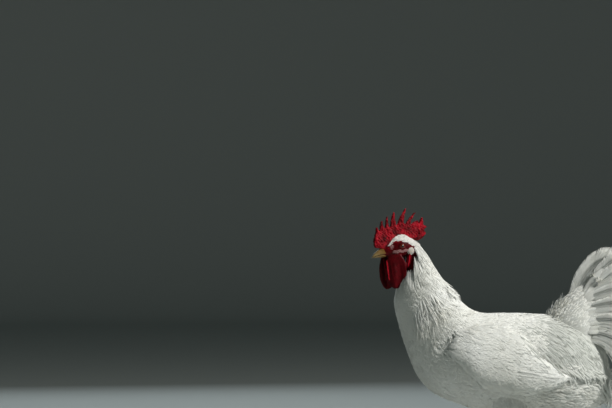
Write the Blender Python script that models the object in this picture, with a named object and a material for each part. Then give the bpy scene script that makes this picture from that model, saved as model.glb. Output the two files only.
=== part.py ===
"""White Leghorn cock, life size, standing still with its head turned a little to its left.

The bird faces -X, its left side is toward -Y, and it stands on the plane z = 0 with its origin
under the middle of its bounding box. Sizes are in millimetres and become metres through MM.
The plumage is one lofted body, parted by flat cuts into neck, breast, trunk and rump. Whatever
grows out of it is cut back to it, so that all the pieces meet with a gap of GAP.
"""
import math

import bmesh
import bpy
import numpy as np
from mathutils import Vector
from mathutils.bvhtree import BVHTree

MM = 0.001
GAP = 0.3  # between pieces that touch

# ---------------------------------------------------------------- driving dimensions, in mm

# Cross-sections of the body from the rump to the top of the neck: a point on the back line
# (x, z), a point on the belly or throat line (x, z), and half the width between them.
BODY_STATIONS = (
    (101, 290, 99, 178, 38),
    (69, 317, 62, 165, 56),
    (32, 327, 22, 163, 65),
    (-13, 330, -28, 164, 68),
    (-53, 331, -83, 168, 69),
    (-88, 331, -135, 184, 69),
    (-109, 336, -171, 200, 67),
    (-123, 346, -197, 226, 62),
    (-137, 360, -217, 272, 54),
    (-153, 380, -230, 315, 45),
    (-169, 403, -237, 352, 37),
    (-184, 428, -229, 387, 26.5),
    (-200, 448, -219, 411, 16),
)
RUMP_POLE = (113, 228)
NECK_POLE = (-219, 438)
BODY_ROUNDNESS = 2.25  # power of the oval: 2 is an ellipse, more is squarer
BODY_AROUND = 20
# Where the flat cuts part the body, counted in stations.
BODY_PARTS = (
    ("rump", None, 1.5),
    ("trunk", 1.5, 5.0),
    ("breast", 5.0, 7.5),
    ("neck_lower", 7.5, 9.5),
    ("neck_upper", 9.5, None),
)

# The head's own frame: x forward to the beak, y to the bird's left, z up, origin between the eyes.
HEAD_PLACE = (-230, -8, 442.5)
HEAD_TURN = math.radians(20)
HEAD_NOD = math.radians(12)
# Cross-sections along the head: x, top, level of the widest place, bottom, half width.
HEAD_STATIONS = (
    (-31, 2, -6, -15, 9.5),
    (-20, 12.5, -3, -19, 14.5),
    (-8, 18.5, -3, -20.5, 16.5),
    (4, 17, -4, -20, 16),
    (13, 12.5, -5, -17.5, 13.8),
    (21, 8, -5.5, -15, 11.3),
    (29, 3.6, -5.5, -12.6, 8.4),
    (34, 0.6, -6, -10.6, 5.6),
)
UPPER_BEAK_STATIONS = (
    (28, 4.2, -6.2, -7.4, 8.7),
    (33, 2.7, -6.2, -7.3, 7.7),
    (38, 1.0, -6.2, -7.2, 6.3),
    (43, -1.5, -6.5, -7.4, 4.7),
    (47, -4.2, -7.2, -8.1, 3.2),
    (50, -7.2, -8.6, -9.4, 1.7),
    (51.4, -9.4, -9.9, -10.3, 0.6),
)
LOWER_BEAK_STATIONS = (
    (26, -7.7, -8.6, -12.8, 7.6),
    (32, -7.6, -8.5, -12.5, 6.7),
    (38, -7.5, -8.4, -11.8, 5.2),
    (43, -7.7, -8.5, -11.0, 3.7),
    (46.5, -8.4, -9.0, -10.4, 2.1),
    (48, -9.0, -9.4, -9.9, 0.7),
)
EYE_RADIUS = 6.5
EYE_DEPTH = 11.3  # from the head's middle plane to the eye's centre

# The comb stands in the head's middle plane. Its edge without the spikes runs from under its
# front, over the top, to under its rear blade; each spike rises between two edge points.
COMB_EDGE = (
    (20.8, 1.5), (40.2, 5.0), (41.4, 15.5), (36.4, 28.5), (29.1, 31.3), (19.7, 32.3),
    (10.2, 33.7), (-3.1, 34.3), (-17.4, 33.5), (-28.1, 31.4), (-42.1, 29.2), (-49.4, 24.6),
    (-48.8, 17.0), (-46.0, 7.0), (-36.5, 2.2), (-28.5, 3.2), (-22.7, 7.2),
)
COMB_ROOT = ((18, -4), (15, 2), (9, 9), (0, 12), (-9, 12), (-16, 9), (-20, 5), (-21, 2))
# Index of the edge point before the spike, and the spike's tip from the middle of its foot.
COMB_SPIKES = (
    (3, -0.4, 6.2), (4, -3.3, 15.0), (5, -4.5, 19.0), (6, -6.5, 22.0), (7, -14.0, 24.3),
    (8, -17.3, 15.7), (9, -4.4, 3.6), (10, -2.8, 10.0), (11, -4.8, -0.2), (12, -2.9, -0.8),
)
COMB_SPIKE_SHARE = 0.8  # of the way between its edge points that a spike's foot takes
COMB_SPIKE_TIP = 0.12  # half width of a spike's blunt tip, of its foot's half width
COMB_SPIKE_ONSET = 4  # power of the way up the comb with which a column joins its spike
COMB_SPIKE_STEPS = (-1, -0.5, 0, 0.5, 1)  # across its foot, from edge to edge
COMB_HALF_THICKNESS = (5.2, 3.4, 1.5)  # at the root, at the feet of the spikes, at their tips
COMB_FRONT_SWELLING = 2.6

# Each wattle hangs from the jaw: (forward, up) of its middle line, half width, half thickness.
WATTLE_STATIONS = (
    (14.5, -8, 8, 2.2),
    (16, -24, 15.5, 2.8),
    (17.6, -37, 17.2, 2.9),
    (19.6, -50, 15.6, 2.8),
    (21, -60, 11, 2.4),
    (21.7, -66.5, 4.5, 1.5),
)
WATTLE_SPREAD = 10  # of each wattle's middle line from the head's middle plane
WATTLE_SPLAY = 0.3  # outward turn of its rear edge, so that it clears the throat
WATTLE_SHIFT = (0, 7)  # how far forward of that the left and the right one hang
LOBE_PLACE = (-13.2, 14.6, -11.3)
LOBE_SIZE = (6.2, 3.4, 6.0)  # half length, half thickness, half height

# The folded wing's lower and upper edges, seen from the side, shoulder first.
WING_LOWER = (
    (-157, 271), (-126, 245), (-95, 216), (-57, 204), (-22, 201), (-2, 207), (22, 213), (42, 226),
)
WING_UPPER = (
    (-157, 279), (-137, 300), (-102, 307), (-62, 304), (-32, 291), (-9, 269), (19, 247), (42, 232),
)
# Each group of wing feathers: (first and last place along the edges), (first and last share of
# the way from the lower edge to the upper), thickness at its rim, and how much it bulges.
WING_PARTS = (
    ("wing_coverts", (0, 3.4), (0, 1), 2.4, 12.5),
    ("wing_secondaries", (3.42, 6.55), (0.41, 1), 3.6, 6.5),
    ("wing_primaries", (3.42, 7), (0, 0.40), 2.6, 5.5),
)
WING_SAG = 0.5  # power that moves the widest place of the wing toward its lower edge
WING_COVERTS_BOW = 0.6  # how much further back the coverts reach in the middle of the wing

# Horizontal ovals down the leg: z, x of the centre, y outward of the foot, half depth, half width.
THIGH_STATIONS = (
    (222, -8, -14, 34, 22),
    (204, -7, -10, 35, 26),
    (180, 4, -5, 30, 24),
    (154, 16, -1, 21, 17.5),
    (133, 26, -2, 13, 11.5),
    (116.3, 31, -3, 8.4, 8.0),
)
SHANK_STATIONS = (
    (116, 31, -3, 8.4, 7.6),
    (108, 32, -3, 8.6, 7.6),
    (98, 30, -3, 6.8, 5.8),
    (70, 20.5, -2, 5.9, 5.2),
    (40, 9.5, -1, 6.0, 5.4),
    (22, 2.5, 0, 7.6, 7.0),
    (12, 0, 0, 11.4, 11.0),
    (5, 0, 0, 13.2, 13.0),
    (0, 0, 0, 11.6, 11.4),
)
FOOT_X = -51
FOOT_Y = 39
STRIDE = 12  # the left foot stands this far forward, the right foot this far back
HIP_HEIGHT = 200
# Toe: turn inward from straight forward, length to the claw, half width, rise of its root.
TOES = (
    ("middle", 0, 60, 4.4, 0),
    ("inner", 40, 47, 4.2, 0),
    ("outer", -40, 49, 4.2, 0),
    ("hallux", 168, 36, 3.6, 4),
)
TOE_START = 12.4
CLAW_LENGTH = 15
SPUR_HEIGHT = 36
SPUR_LENGTH = 19

# Tail coverts round the root of the tail: x, z, half length across the tail, half thickness.
TAIL_BASE_STATIONS = (
    (56, 288, 54, 44),
    (64, 315, 47, 37),
    (71, 338, 35, 27),
    (78, 358, 24, 17),
    (84, 374, 12, 8),
)
TAIL_BASE_TILT = math.radians(66)
# The two halves of the fan, from their front edge to their rear one.
FAN_ROOTS = ((40, 325), (76, 300))
FAN_ANGLES = (71, 8)  # directions in which the feathers leave the root
FAN_CURLS = (70, 26)  # how far they have turned over at their tips
FAN_LENGTHS = (142, 152)
FAN_FEATHERS = 7
TENT_ROOT = (54, 308)
TENT_RIDGE = 4.5  # the tail's two sides are this far from its middle plane along the top
TENT_SPREAD = 36  # and this much further along their lower edge
TENT_REACH = 170
# Curved feathers: points in the side view, greatest width, and their layer over the fan.
MAIN_SICKLE = (
    ((60, 338), (84, 380), (107, 406), (127, 421), (160, 436), (200, 432), (239, 400), (263, 350),
     (274.5, 298)), 28, 1)
LESSER_SICKLES = (
    (((62, 338), (90, 374), (126, 402), (172, 410), (216, 386), (246, 334)), 26, 2),
    (((60, 344), (95, 363), (140, 374), (184, 366), (222, 334), (241, 284)), 25, 3),
    (((60, 334), (95, 345), (130, 349), (168, 338), (202, 306), (218, 258)), 24, 4),
    (((64, 316), (96, 322), (126, 319), (156, 300), (180, 268), (190, 228)), 23, 5),
    (((72, 298), (98, 299), (122, 290), (143, 270), (155, 240), (158, 208)), 21, 6),
)
LAYER_STEP = 3.4
FEATHER_THICKNESS = 2.2

# ---------------------------------------------------------------- colours of the sub-parts

COLOURS = {  # red, green, blue, roughness
    "plumage": (0.86, 0.85, 0.80, 0.75),
    "comb": (0.46, 0.010, 0.020, 0.45),
    "ear_lobe": (0.80, 0.74, 0.66, 0.55),
    "beak": (0.66, 0.42, 0.16, 0.40),
    "leg_scales": (0.72, 0.50, 0.14, 0.50),
    "claws": (0.55, 0.44, 0.30, 0.35),
    "eye": (0.48, 0.13, 0.03, 0.10),
}


def plain_material(name):
    """Principled material of one colour."""
    red, green, blue, roughness = COLOURS[name]
    material = bpy.data.materials.new(name)
    material.use_nodes = True
    shader = material.node_tree.nodes["Principled BSDF"]
    shader.inputs["Base Color"].default_value = (red, green, blue, 1)
    shader.inputs["Roughness"].default_value = roughness
    shader.inputs["Metallic"].default_value = 0
    return material


# ---------------------------------------------------------------- shapes from rings and grids


def smooth(rows, place):
    """Catmull-Rom curve through the rows, read at places counted in rows."""
    rows = np.asarray(rows, float)
    place = np.clip(np.asarray(place, float), 0, len(rows) - 1)
    padded = np.vstack([2 * rows[0] - rows[1], rows, 2 * rows[-1] - rows[-2]])
    first = np.minimum(place.astype(int), len(rows) - 2)
    part = (place - first)[..., None]
    a, b, c, d = (padded[first + step] for step in range(4))
    bend = 2 * a - 5 * b + 4 * c - d
    twist = 3 * b - a - 3 * c + d
    return 0.5 * (2 * b + (c - a) * part + bend * part**2 + twist * part**3)


def rounded(angle, power):
    """Cosine and sine of the angle, squared off so that they trace an oval of that power."""
    cosine, sine = np.cos(angle), np.sin(angle)
    across = np.sign(cosine) * np.abs(cosine) ** (2 / power)
    upward = np.sign(sine) * np.abs(sine) ** (2 / power)
    return across, upward


def ring_faces(count, around):
    """Quads between neighbouring rings, and one flat face over each end."""
    faces = []
    for ring in range(count - 1):
        for step in range(around):
            ahead = (step + 1) % around
            low, high = ring * around, (ring + 1) * around
            faces.append((low + step, low + ahead, high + ahead, high + step))
    faces.append(tuple(range(around)))
    faces.append(tuple((count - 1) * around + step for step in range(around)))
    return faces


def slab_faces(rows, columns):
    """Quads of two grids, the outer one first, and of the wall that joins their edges."""
    size = rows * columns
    faces = []
    for row in range(rows - 1):
        for column in range(columns - 1):
            corner = row * columns + column
            quad = (corner, corner + 1, corner + columns + 1, corner + columns)
            faces.append(quad)
            faces.append(tuple(size + index for index in reversed(quad)))
    edge = [column for column in range(columns)]
    edge += [row * columns + columns - 1 for row in range(1, rows)]
    edge += [(rows - 1) * columns + column for column in range(columns - 2, -1, -1)]
    edge += [row * columns for row in range(rows - 2, 0, -1)]
    for here, ahead in zip(edge, edge[1:] + edge[:1]):
        faces.append((here, size + here, size + ahead, ahead))
    return faces


def add_solid(name, points, faces, material, parent=None):
    """Object from points in millimetres, with its faces turned outward."""
    mesh = bpy.data.meshes.new(name)
    mesh.from_pydata((np.asarray(points).reshape(-1, 3) * MM).tolist(), [], faces)
    shape = bmesh.new()
    shape.from_mesh(mesh)
    bmesh.ops.recalc_face_normals(shape, faces=shape.faces)
    shape.to_mesh(mesh)
    shape.free()
    mesh.materials.append(material)
    mesh.shade_smooth()
    mesh.set_sharp_from_angle(angle=math.radians(45))
    solid = bpy.data.objects.new(name, mesh)
    bpy.context.collection.objects.link(solid)
    solid.parent = parent
    return solid


def add_rings(name, rings, material, parent=None):
    """Closed solid over a stack of rings."""
    return add_solid(name, rings, ring_faces(*rings.shape[:2]), material, parent)


def add_slab(name, outer, inner, material, parent=None):
    """Closed solid between two grids of points."""
    points = np.concatenate([outer.reshape(-1, 3), inner.reshape(-1, 3)])
    return add_solid(name, points, slab_faces(*outer.shape[:2]), material, parent)


def cutter_of(solid, grow=GAP):
    """Hidden copy of a solid, swollen by grow, that cuts its neighbours back."""
    shape = bmesh.new()
    shape.from_mesh(solid.data)
    shape.normal_update()
    for vertex in shape.verts:
        vertex.co += vertex.normal * grow * MM
    mesh = bpy.data.meshes.new(solid.name + "_cutter")
    shape.to_mesh(mesh)
    shape.free()
    cutter = bpy.data.objects.new(mesh.name, mesh)
    bpy.context.collection.objects.link(cutter)
    cutter.parent = solid.parent
    hide_guide(cutter)
    return cutter


def hide_guide(guide):
    """Leave a cutter out of the finished object."""
    guide.hide_render = True
    guide.display_type = "WIRE"


def cut(solid, *cutters):
    """Cut the solid back from each cutter."""
    for cutter in cutters:
        difference = solid.modifiers.new("cut back from " + cutter.name, "BOOLEAN")
        difference.operation = "DIFFERENCE"
        difference.solver = "EXACT"
        difference.object = cutter


def add_empty(name, place, turn=(0, 0, 0)):
    """Empty that carries a group of pieces, with its place in millimetres."""
    empty = bpy.data.objects.new(name, None)
    bpy.context.collection.objects.link(empty)
    empty.location = Vector(place) * MM
    empty.rotation_euler = turn
    return empty


# ---------------------------------------------------------------- neck, breast, trunk and rump


def body_rings(places):
    """Upright ovals of the body at the given places, counted in stations.

    Each oval spans from the back line to the belly line, and is as wide as its station says.
    Before station 0 and after the last one the ovals shrink along a quarter circle to a pole.
    """
    last = len(BODY_STATIONS) - 1
    places = np.asarray(places, float)
    values = smooth(BODY_STATIONS, places)
    back, belly, half_width = values[:, 0:2], values[:, 2:4], values[:, 4]
    middle, reach = (back + belly) / 2, (back - belly) / 2
    beyond = np.where(places < 0, -places, np.maximum(places - last, 0)) * math.pi / 2
    pole = np.where((places < 0)[:, None], RUMP_POLE, NECK_POLE)
    middle = middle + (pole - middle) * np.sin(beyond)[:, None]
    reach = reach * np.cos(beyond)[:, None]
    half_width = half_width * np.cos(beyond)
    angle = np.linspace(0, 2 * math.pi, BODY_AROUND, endpoint=False)
    upward, across = rounded(angle, BODY_ROUNDNESS)
    rings = np.empty((len(places), BODY_AROUND, 3))
    rings[:, :, 0] = middle[:, None, 0] + upward * reach[:, None, 0]
    rings[:, :, 1] = across * half_width[:, None]
    rings[:, :, 2] = middle[:, None, 1] + upward * reach[:, None, 1]
    return rings


def body_places(first, last):
    """Places of the ovals of one part of the body, with domed ends where it has a pole."""
    end = len(BODY_STATIONS) - 1
    low = 0 if first is None else first
    high = end if last is None else last
    places = list(np.arange(math.ceil(low * 2 + 0.1) / 2, high - 0.05, 0.5))
    dome = [0.95, 0.8, 0.55, 0.28]
    before = [-step for step in dome] + [0.0] if first is None else [first]
    after = [end] + [end + step for step in reversed(dome)] if last is None else [last]
    return np.array(before + places + after)


def make_body(material):
    """The body's parts, and the cutter that all of them together make."""
    whole = add_rings("body_guide", body_rings(body_places(None, None)), material)
    hide_guide(whole)
    cutter = cutter_of(whole)
    parts = {}
    for name, first, last in BODY_PARTS:
        places = body_places(first, last)
        travel = np.linalg.norm(np.diff(body_rings(places), axis=0), axis=2).min(axis=1)
        if first is not None:
            places[0] += GAP / 2 * (places[1] - places[0]) / travel[0]
        if last is not None:
            places[-1] -= GAP / 2 * (places[-1] - places[-2]) / travel[-1]
        parts[name] = add_rings(name, body_rings(places), material)
    return parts, whole, cutter


# ---------------------------------------------------------------- head, beak, eyes, comb, wattles


def oval_rings(stations, places, around, top_power, bottom_power):
    """Ovals across the head's own x, each with its widest place at its own level."""
    x, top, level, bottom, half_width = smooth(stations, places).T
    angle = np.linspace(0, 2 * math.pi, around, endpoint=False)
    wide_top, tall_top = rounded(angle, top_power)
    wide_low, tall_low = rounded(angle, bottom_power)
    above = np.sin(angle) >= 0
    wide = np.where(above, wide_top, wide_low)
    tall = np.where(above, tall_top, tall_low)
    rise = np.where(above, (top - level)[:, None], (level - bottom)[:, None])
    rings = np.empty((len(x), around, 3))
    rings[:, :, 0] = x[:, None]
    rings[:, :, 1] = wide * half_width[:, None]
    rings[:, :, 2] = level[:, None] + tall * rise
    return rings


def ball_rings(centre, half_sizes, around, levels):
    """Ellipsoid as a stack of rings along z."""
    angle = np.linspace(0, 2 * math.pi, around, endpoint=False)
    tilt = np.linspace(-0.46, 0.46, levels) * math.pi
    rings = np.empty((levels, around, 3))
    rings[:, :, 0] = np.cos(tilt)[:, None] * np.cos(angle) * half_sizes[0]
    rings[:, :, 1] = np.cos(tilt)[:, None] * np.sin(angle) * half_sizes[1]
    rings[:, :, 2] = np.sin(tilt)[:, None] * half_sizes[2]
    return rings + np.asarray(centre, float)


def comb_grid(side):
    """One side of the comb: rows run from its root to its edge, columns from front to rear.

    A column starts on the root line, reaches the edge line, and where a spike stands it goes on
    along the spike. The spike's height over its foot is a raised cosine with a blunt top, and
    its lean grows with the 1.5th power of its height, so that it bends backward.
    """
    spikes = {index: tip for index, *tip in COMB_SPIKES}
    places, growth = [], []
    for index in range(len(COMB_EDGE) - 1):
        places += [float(index), index + 0.5] if index not in spikes else [float(index)]
        growth += [(0, 0)] * (1 if index in spikes else 2)
        for step in COMB_SPIKE_STEPS if index in spikes else ():
            slope = np.clip((abs(step) - COMB_SPIKE_TIP) / (1 - COMB_SPIKE_TIP), 0, 1)
            height = (1 + math.cos(math.pi * slope)) / 2
            lean, rise = spikes[index]
            places.append(index + 0.5 + COMB_SPIKE_SHARE * step / 2)
            growth.append((lean * height**1.5, rise * height))
    places.append(len(COMB_EDGE) - 1)
    growth.append((0, 0))
    places, growth = np.array(places), np.array(growth)
    edge = smooth(COMB_EDGE, places)
    root = smooth(COMB_ROOT, places * (len(COMB_ROOT) - 1) / (len(COMB_EDGE) - 1))
    climb = np.array([0, 0.6, 1.0])[:, None, None]
    plane = root + (edge - root) * climb + growth * climb**COMB_SPIKE_ONSET
    tallness = np.linalg.norm(growth, axis=1) / 25
    at_root, at_foot, at_tip = COMB_HALF_THICKNESS
    rim = at_foot + (at_tip - at_foot) * (0.45 + 0.55 * np.minimum(tallness * 1.5, 1))
    thick = at_root + (rim - at_root) * climb[:, :, 0] ** 1.5
    front = np.clip((plane[:, :, 0] - 22) / 14, 0, 1)
    thick = thick + COMB_FRONT_SWELLING * front * (1 - 0.6 * climb[:, :, 0])
    return np.stack([plane[:, :, 0], side * thick, plane[:, :, 1]], axis=2)


def wattle_rings(side, shift):
    """Level ovals down a wattle, splayed outward toward its rear edge."""
    places = np.linspace(0, len(WATTLE_STATIONS) - 1, 7)
    forward, up, half_width, half_thickness = smooth(WATTLE_STATIONS, places).T
    angle = np.linspace(0, 2 * math.pi, 10, endpoint=False)
    length = np.cos(angle) * half_width[:, None]
    rings = np.empty((len(places), 10, 3))
    rings[:, :, 0] = (forward + shift)[:, None] + length
    outward = WATTLE_SPREAD - WATTLE_SPLAY * length
    rings[:, :, 1] = side * (outward + np.sin(angle) * half_thickness[:, None])
    rings[:, :, 2] = up[:, None]
    return rings


def domed(rings, before, after):
    """The rings with two smaller ones at each end, which reach that far beyond it along x."""
    ends = []
    for ring, reach in ((rings[0], -before), (rings[-1], after)):
        middle = ring.mean(axis=0)
        ends.append([middle + (ring - middle) * size + (reach * share, 0, 0)
                     for size, share in ((0.86, 0.5), (0.5, 0.87))])
    return np.array([*reversed(ends[0]), *rings, *ends[1]])


def make_head(materials, body, body_cutter):
    """Head and all that it carries, on one empty that turns it."""
    axis = add_empty("head_axis", HEAD_PLACE, (0, HEAD_NOD, math.pi + HEAD_TURN))
    places = np.linspace(0, len(HEAD_STATIONS) - 1, 9)
    rings = domed(oval_rings(HEAD_STATIONS, places, 16, 2.1, 2.1), 7, 3)
    head = add_rings("head", rings, materials["comb"], axis)
    head_cutter = cutter_of(head)
    cut(body["neck_upper"], head_cutter)

    beak_cutters = []
    for name, stations, powers in (
        ("upper_beak", UPPER_BEAK_STATIONS, (2.0, 3.6)),
        ("lower_beak", LOWER_BEAK_STATIONS, (3.6, 2.2)),
    ):
        places = np.linspace(0, len(stations) - 1, 6)
        beak = add_rings(name, oval_rings(stations, places, 10, *powers), materials["beak"], axis)
        cut(beak, head_cutter)
        beak_cutters.append(cutter_of(beak))

    comb = add_slab("comb", comb_grid(1), comb_grid(-1), materials["comb"], axis)
    cut(comb, head_cutter, body_cutter, *beak_cutters)

    for side, word, shift in ((1, "left", WATTLE_SHIFT[0]), (-1, "right", WATTLE_SHIFT[1])):
        eye = add_rings(
            "eye_" + word,
            ball_rings((0, side * EYE_DEPTH, 0), (EYE_RADIUS,) * 3, 8, 6),
            materials["eye"],
            axis,
        )
        cut(head, cutter_of(eye))
        wattle = add_rings("wattle_" + word, wattle_rings(side, shift), materials["comb"], axis)
        cut(wattle, head_cutter, body_cutter, *beak_cutters)
        forward, outward, up = LOBE_PLACE
        lobe = add_rings(
            "ear_lobe_" + word,
            ball_rings((forward, side * outward, up), LOBE_SIZE, 9, 5),
            materials["ear_lobe"],
            axis,
        )
        cut(lobe, head_cutter, body_cutter)


# ---------------------------------------------------------------- wings


def make_wings(material, whole, body_cutter):
    """Folded wings: each group of feathers follows the body's side and stands off it."""
    tree = BVHTree.FromPolygons(
        [vertex.co for vertex in whole.data.vertices],
        [tuple(face.vertices) for face in whole.data.polygons],
    )

    def flank(x, z):
        """Half width of the body at a place in the side view."""
        hit = tree.ray_cast(Vector((x, -300, z)) * MM, Vector((0, 1, 0)))
        return -hit[0].y / MM

    for name, (first, last), (low, high), rim, bulge in WING_PARTS:
        share = np.linspace(0, 1, 9)[:, None]
        upward = np.linspace(low, high, 5)[None, :]
        bowed = share if name == "wing_coverts" else 1 - share
        along = first + (last - first) * share + WING_COVERTS_BOW * bowed * np.sin(upward * math.pi)
        lower, upper = smooth(WING_LOWER, along), smooth(WING_UPPER, along)
        plane = lower + (upper - lower) * upward[:, :, None]
        side = np.array([[flank(x, z) for x, z in row] for row in plane])
        round_across = np.sin(upward**WING_SAG * math.pi).clip(0) ** 0.7
        round_along = np.sin((0.12 + 0.74 * share) * math.pi) ** 0.7
        proud = rim + bulge * round_across * round_along
        for turn, word in ((-1, "left"), (1, "right")):
            outer = np.dstack([plane[:, :, 0], turn * (side + proud), plane[:, :, 1]])
            inner = np.dstack([plane[:, :, 0], turn * (side - 5), plane[:, :, 1]])
            wing = add_slab(f"{name}_{word}", outer, inner, material)
            cut(wing, body_cutter)


# ---------------------------------------------------------------- legs and feet


def stack_rings(stations, steps, around, outward, shift):
    """Horizontal ovals down a leg, leaned so that the foot is shifted from under the hip."""
    z, x, out, half_depth, half_width = smooth(stations, np.linspace(0, len(stations) - 1, steps)).T
    angle = np.linspace(0, 2 * math.pi, around, endpoint=False)
    rings = np.empty((steps, around, 3))
    lean = -shift * np.clip(z / HIP_HEIGHT, 0, 1)
    rings[:, :, 0] = (x + lean)[:, None] + np.cos(angle) * half_depth[:, None]
    rings[:, :, 1] = (outward * out)[:, None] + np.sin(angle) * half_width[:, None]
    rings[:, :, 2] = z[:, None]
    return rings


def toe_rings(start, end, half_width, half_height, droop=0.0):
    """Toe along its own +X: a row of low ovals with a swelling at each joint, flat underneath."""
    share = np.linspace(0, 1, 7)
    taper = 1 - 0.34 * share
    swelling = 1 + 0.07 * np.cos(share * 3.5 * 2 * math.pi)
    wide = half_width * taper * swelling
    tall = half_height * taper * swelling
    angle = np.linspace(0, 2 * math.pi, 7, endpoint=False) + math.pi / 14
    rings = np.empty((len(share), 7, 3))
    rings[:, :, 0] = (start + (end - start) * share)[:, None]
    rings[:, :, 1] = np.cos(angle) * wide[:, None]
    lift = droop * (1 - share) ** 1.5
    rings[:, :, 2] = (lift + tall * 0.93)[:, None] + np.sin(angle) * tall[:, None]
    rings[:, :, 2] = np.maximum(rings[:, :, 2], 0)
    return rings


def claw_rings(start, length, half_width, half_height):
    """Claw on the end of a toe: it rises a little, then curves down to a blunt point."""
    share = np.linspace(0, 1, 4)
    middle = half_height * (0.93 + 0.5 * np.sin(share * math.pi) - 0.55 * share**2)
    size = (1 - share**1.3) * 0.86 + 0.14
    angle = np.linspace(0, 2 * math.pi, 6, endpoint=False)
    rings = np.empty((len(share), 6, 3))
    rings[:, :, 0] = (start + length * share)[:, None]
    rings[:, :, 1] = np.cos(angle) * (half_width * size)[:, None]
    rings[:, :, 2] = middle[:, None] + np.sin(angle) * (half_height * size)[:, None]
    rings[:, :, 2] = np.maximum(rings[:, :, 2], 0)
    return rings


def spur_rings(inward, shift):
    """Spur on the inner rear of the shank: ovals that shrink as they go inward and back."""
    share = np.linspace(0, 1, 5)
    angle = np.linspace(0, 2 * math.pi, 8, endpoint=False)
    size = 4.2 * (1 - share) ** 0.8 + 0.5
    start = 9 - shift * SPUR_HEIGHT / HIP_HEIGHT
    rings = np.empty((5, 8, 3))
    rings[:, :, 0] = (start + 0.7 * SPUR_LENGTH * share)[:, None] + np.cos(angle) * size[:, None]
    rings[:, :, 1] = (inward * (1 + 0.8 * SPUR_LENGTH * share))[:, None]
    rings[:, :, 2] = (SPUR_HEIGHT + 3 * share**2)[:, None] + np.sin(angle) * size[:, None]
    return rings


def make_leg(inward, word, shift, materials, body_cutter):
    """Thigh, shank with the ball of the foot, spur, four toes and their claws."""
    foot = add_empty("foot_axis_" + word, (FOOT_X + shift, -inward * FOOT_Y, 0))
    thigh = stack_rings(THIGH_STATIONS, 7, 12, -inward, shift)
    cut(add_rings("thigh_" + word, thigh, materials["plumage"], foot), body_cutter)
    rings = stack_rings(SHANK_STATIONS, 12, 9, -inward, shift)
    shank = add_rings("shank_" + word, rings, materials["leg_scales"], foot)
    shank_cutter = cutter_of(shank)
    for name, turn, length, half_width, droop in TOES:
        half_height = half_width * 0.92
        rings = toe_rings(TOE_START - 5, length, half_width, half_height, droop)
        toe = add_rings(f"toe_{name}_{word}", rings, materials["leg_scales"], foot)
        cut(toe, shank_cutter)
        reach = CLAW_LENGTH * length / TOES[0][2]
        rings = claw_rings(length + GAP, reach, half_width * 0.6, half_height * 0.62)
        claw = add_rings(f"claw_{name}_{word}", rings, materials["claws"], foot)
        for piece in (toe, claw):
            piece.rotation_euler = (0, 0, math.pi - inward * math.radians(turn))
    spur = add_rings("spur_" + word, spur_rings(inward, shift), materials["claws"], foot)
    cut(spur, shank_cutter)


# ---------------------------------------------------------------- tail


def tent(x, z, layer):
    """Distance of a tail feather from the middle plane: the tail is a tent, open downward."""
    root_x, root_z = TENT_ROOT
    direction = np.degrees(np.arctan2(z - root_z, x - root_x))
    reach = np.hypot(x - root_x, z - root_z) / TENT_REACH
    lowness = np.clip((FAN_ANGLES[0] - direction) / (FAN_ANGLES[0] - FAN_ANGLES[1]), 0, 1.15)
    return TENT_RIDGE + TENT_SPREAD * lowness * np.clip(reach, 0, 1.1) + layer * LAYER_STEP


def fan_plane(share, along):
    """Point of the tail fan in the side view, share of the way from its front edge to its rear.

    A feather leaves the root at its own angle and turns over by its curl times the 3.5th power
    of the way along it. The point is the sum of its short steps.
    """
    root = smooth(FAN_ROOTS, share)
    angle, curl, length = smooth(tuple(zip(FAN_ANGLES, FAN_CURLS, FAN_LENGTHS)), share)
    steps = 24
    travel = (np.arange(steps) + 0.5) / steps * along
    heading = np.radians(angle - curl * travel**3.5)
    step = length * along / steps
    return root + step * np.array([np.cos(heading).sum(), np.sin(heading).sum()])


def make_fan(turn, word, material, cutters):
    """One half of the tail fan: a thin plate whose edge is scalloped by its feathers' tips."""
    shares = np.linspace(0, 1, FAN_FEATHERS * 2 + 1)
    scallop = 1 - 0.05 * np.abs(np.cos(shares * FAN_FEATHERS * math.pi)) ** 3
    alongs = np.linspace(0.2, 1, 5)
    plane = np.array([[fan_plane(share, along * tip) for along in alongs]
                      for share, tip in zip(shares, scallop)])
    y = tent(plane[:, :, 0], plane[:, :, 1], 0)
    half = FEATHER_THICKNESS / 2
    outer = np.dstack([plane[:, :, 0], turn * (y + half), plane[:, :, 1]])
    inner = np.dstack([plane[:, :, 0], turn * (y - half), plane[:, :, 1]])
    fan = add_slab("tail_fan_" + word, outer, inner, material)
    cut(fan, *cutters)


def make_sickle(name, turn, points, width, layer, material, cutters, steps):
    """Curved tail feather: a strip with a thick middle that follows the tail's tent."""
    places = np.linspace(0, len(points) - 1, steps)
    path = smooth(points, places)
    ahead = np.gradient(path, axis=0)
    ahead /= np.linalg.norm(ahead, axis=1)[:, None]
    across = np.stack([-ahead[:, 1], ahead[:, 0]], axis=1)
    share = np.linspace(0, 1, steps)
    half_width = width / 2 * np.minimum(1, 0.35 + 2.2 * share) * (1 - share**5) ** 0.8
    half_width = np.maximum(half_width, 1.2)
    steps_across = np.array([-1.0, -0.35, 0.35, 1.0, 0.35, -0.35])
    thickness = np.array([0.35, 1, 1, 0.35, -1, -1]) * FEATHER_THICKNESS / 2
    rings = np.empty((steps, 6, 3))
    plane = path[:, None] + across[:, None] * (half_width[:, None] * steps_across)[:, :, None]
    rings[:, :, 0], rings[:, :, 2] = plane[:, :, 0], plane[:, :, 1]
    y = tent(plane[:, :, 0], plane[:, :, 1], layer)
    limit = TENT_RIDGE + layer * LAYER_STEP + TENT_SPREAD * (0.3 + 0.24 * layer)
    rings[:, :, 1] = turn * (np.minimum(y, limit) + thickness)
    sickle = add_rings(name, rings, material)
    cut(sickle, *cutters)


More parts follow.
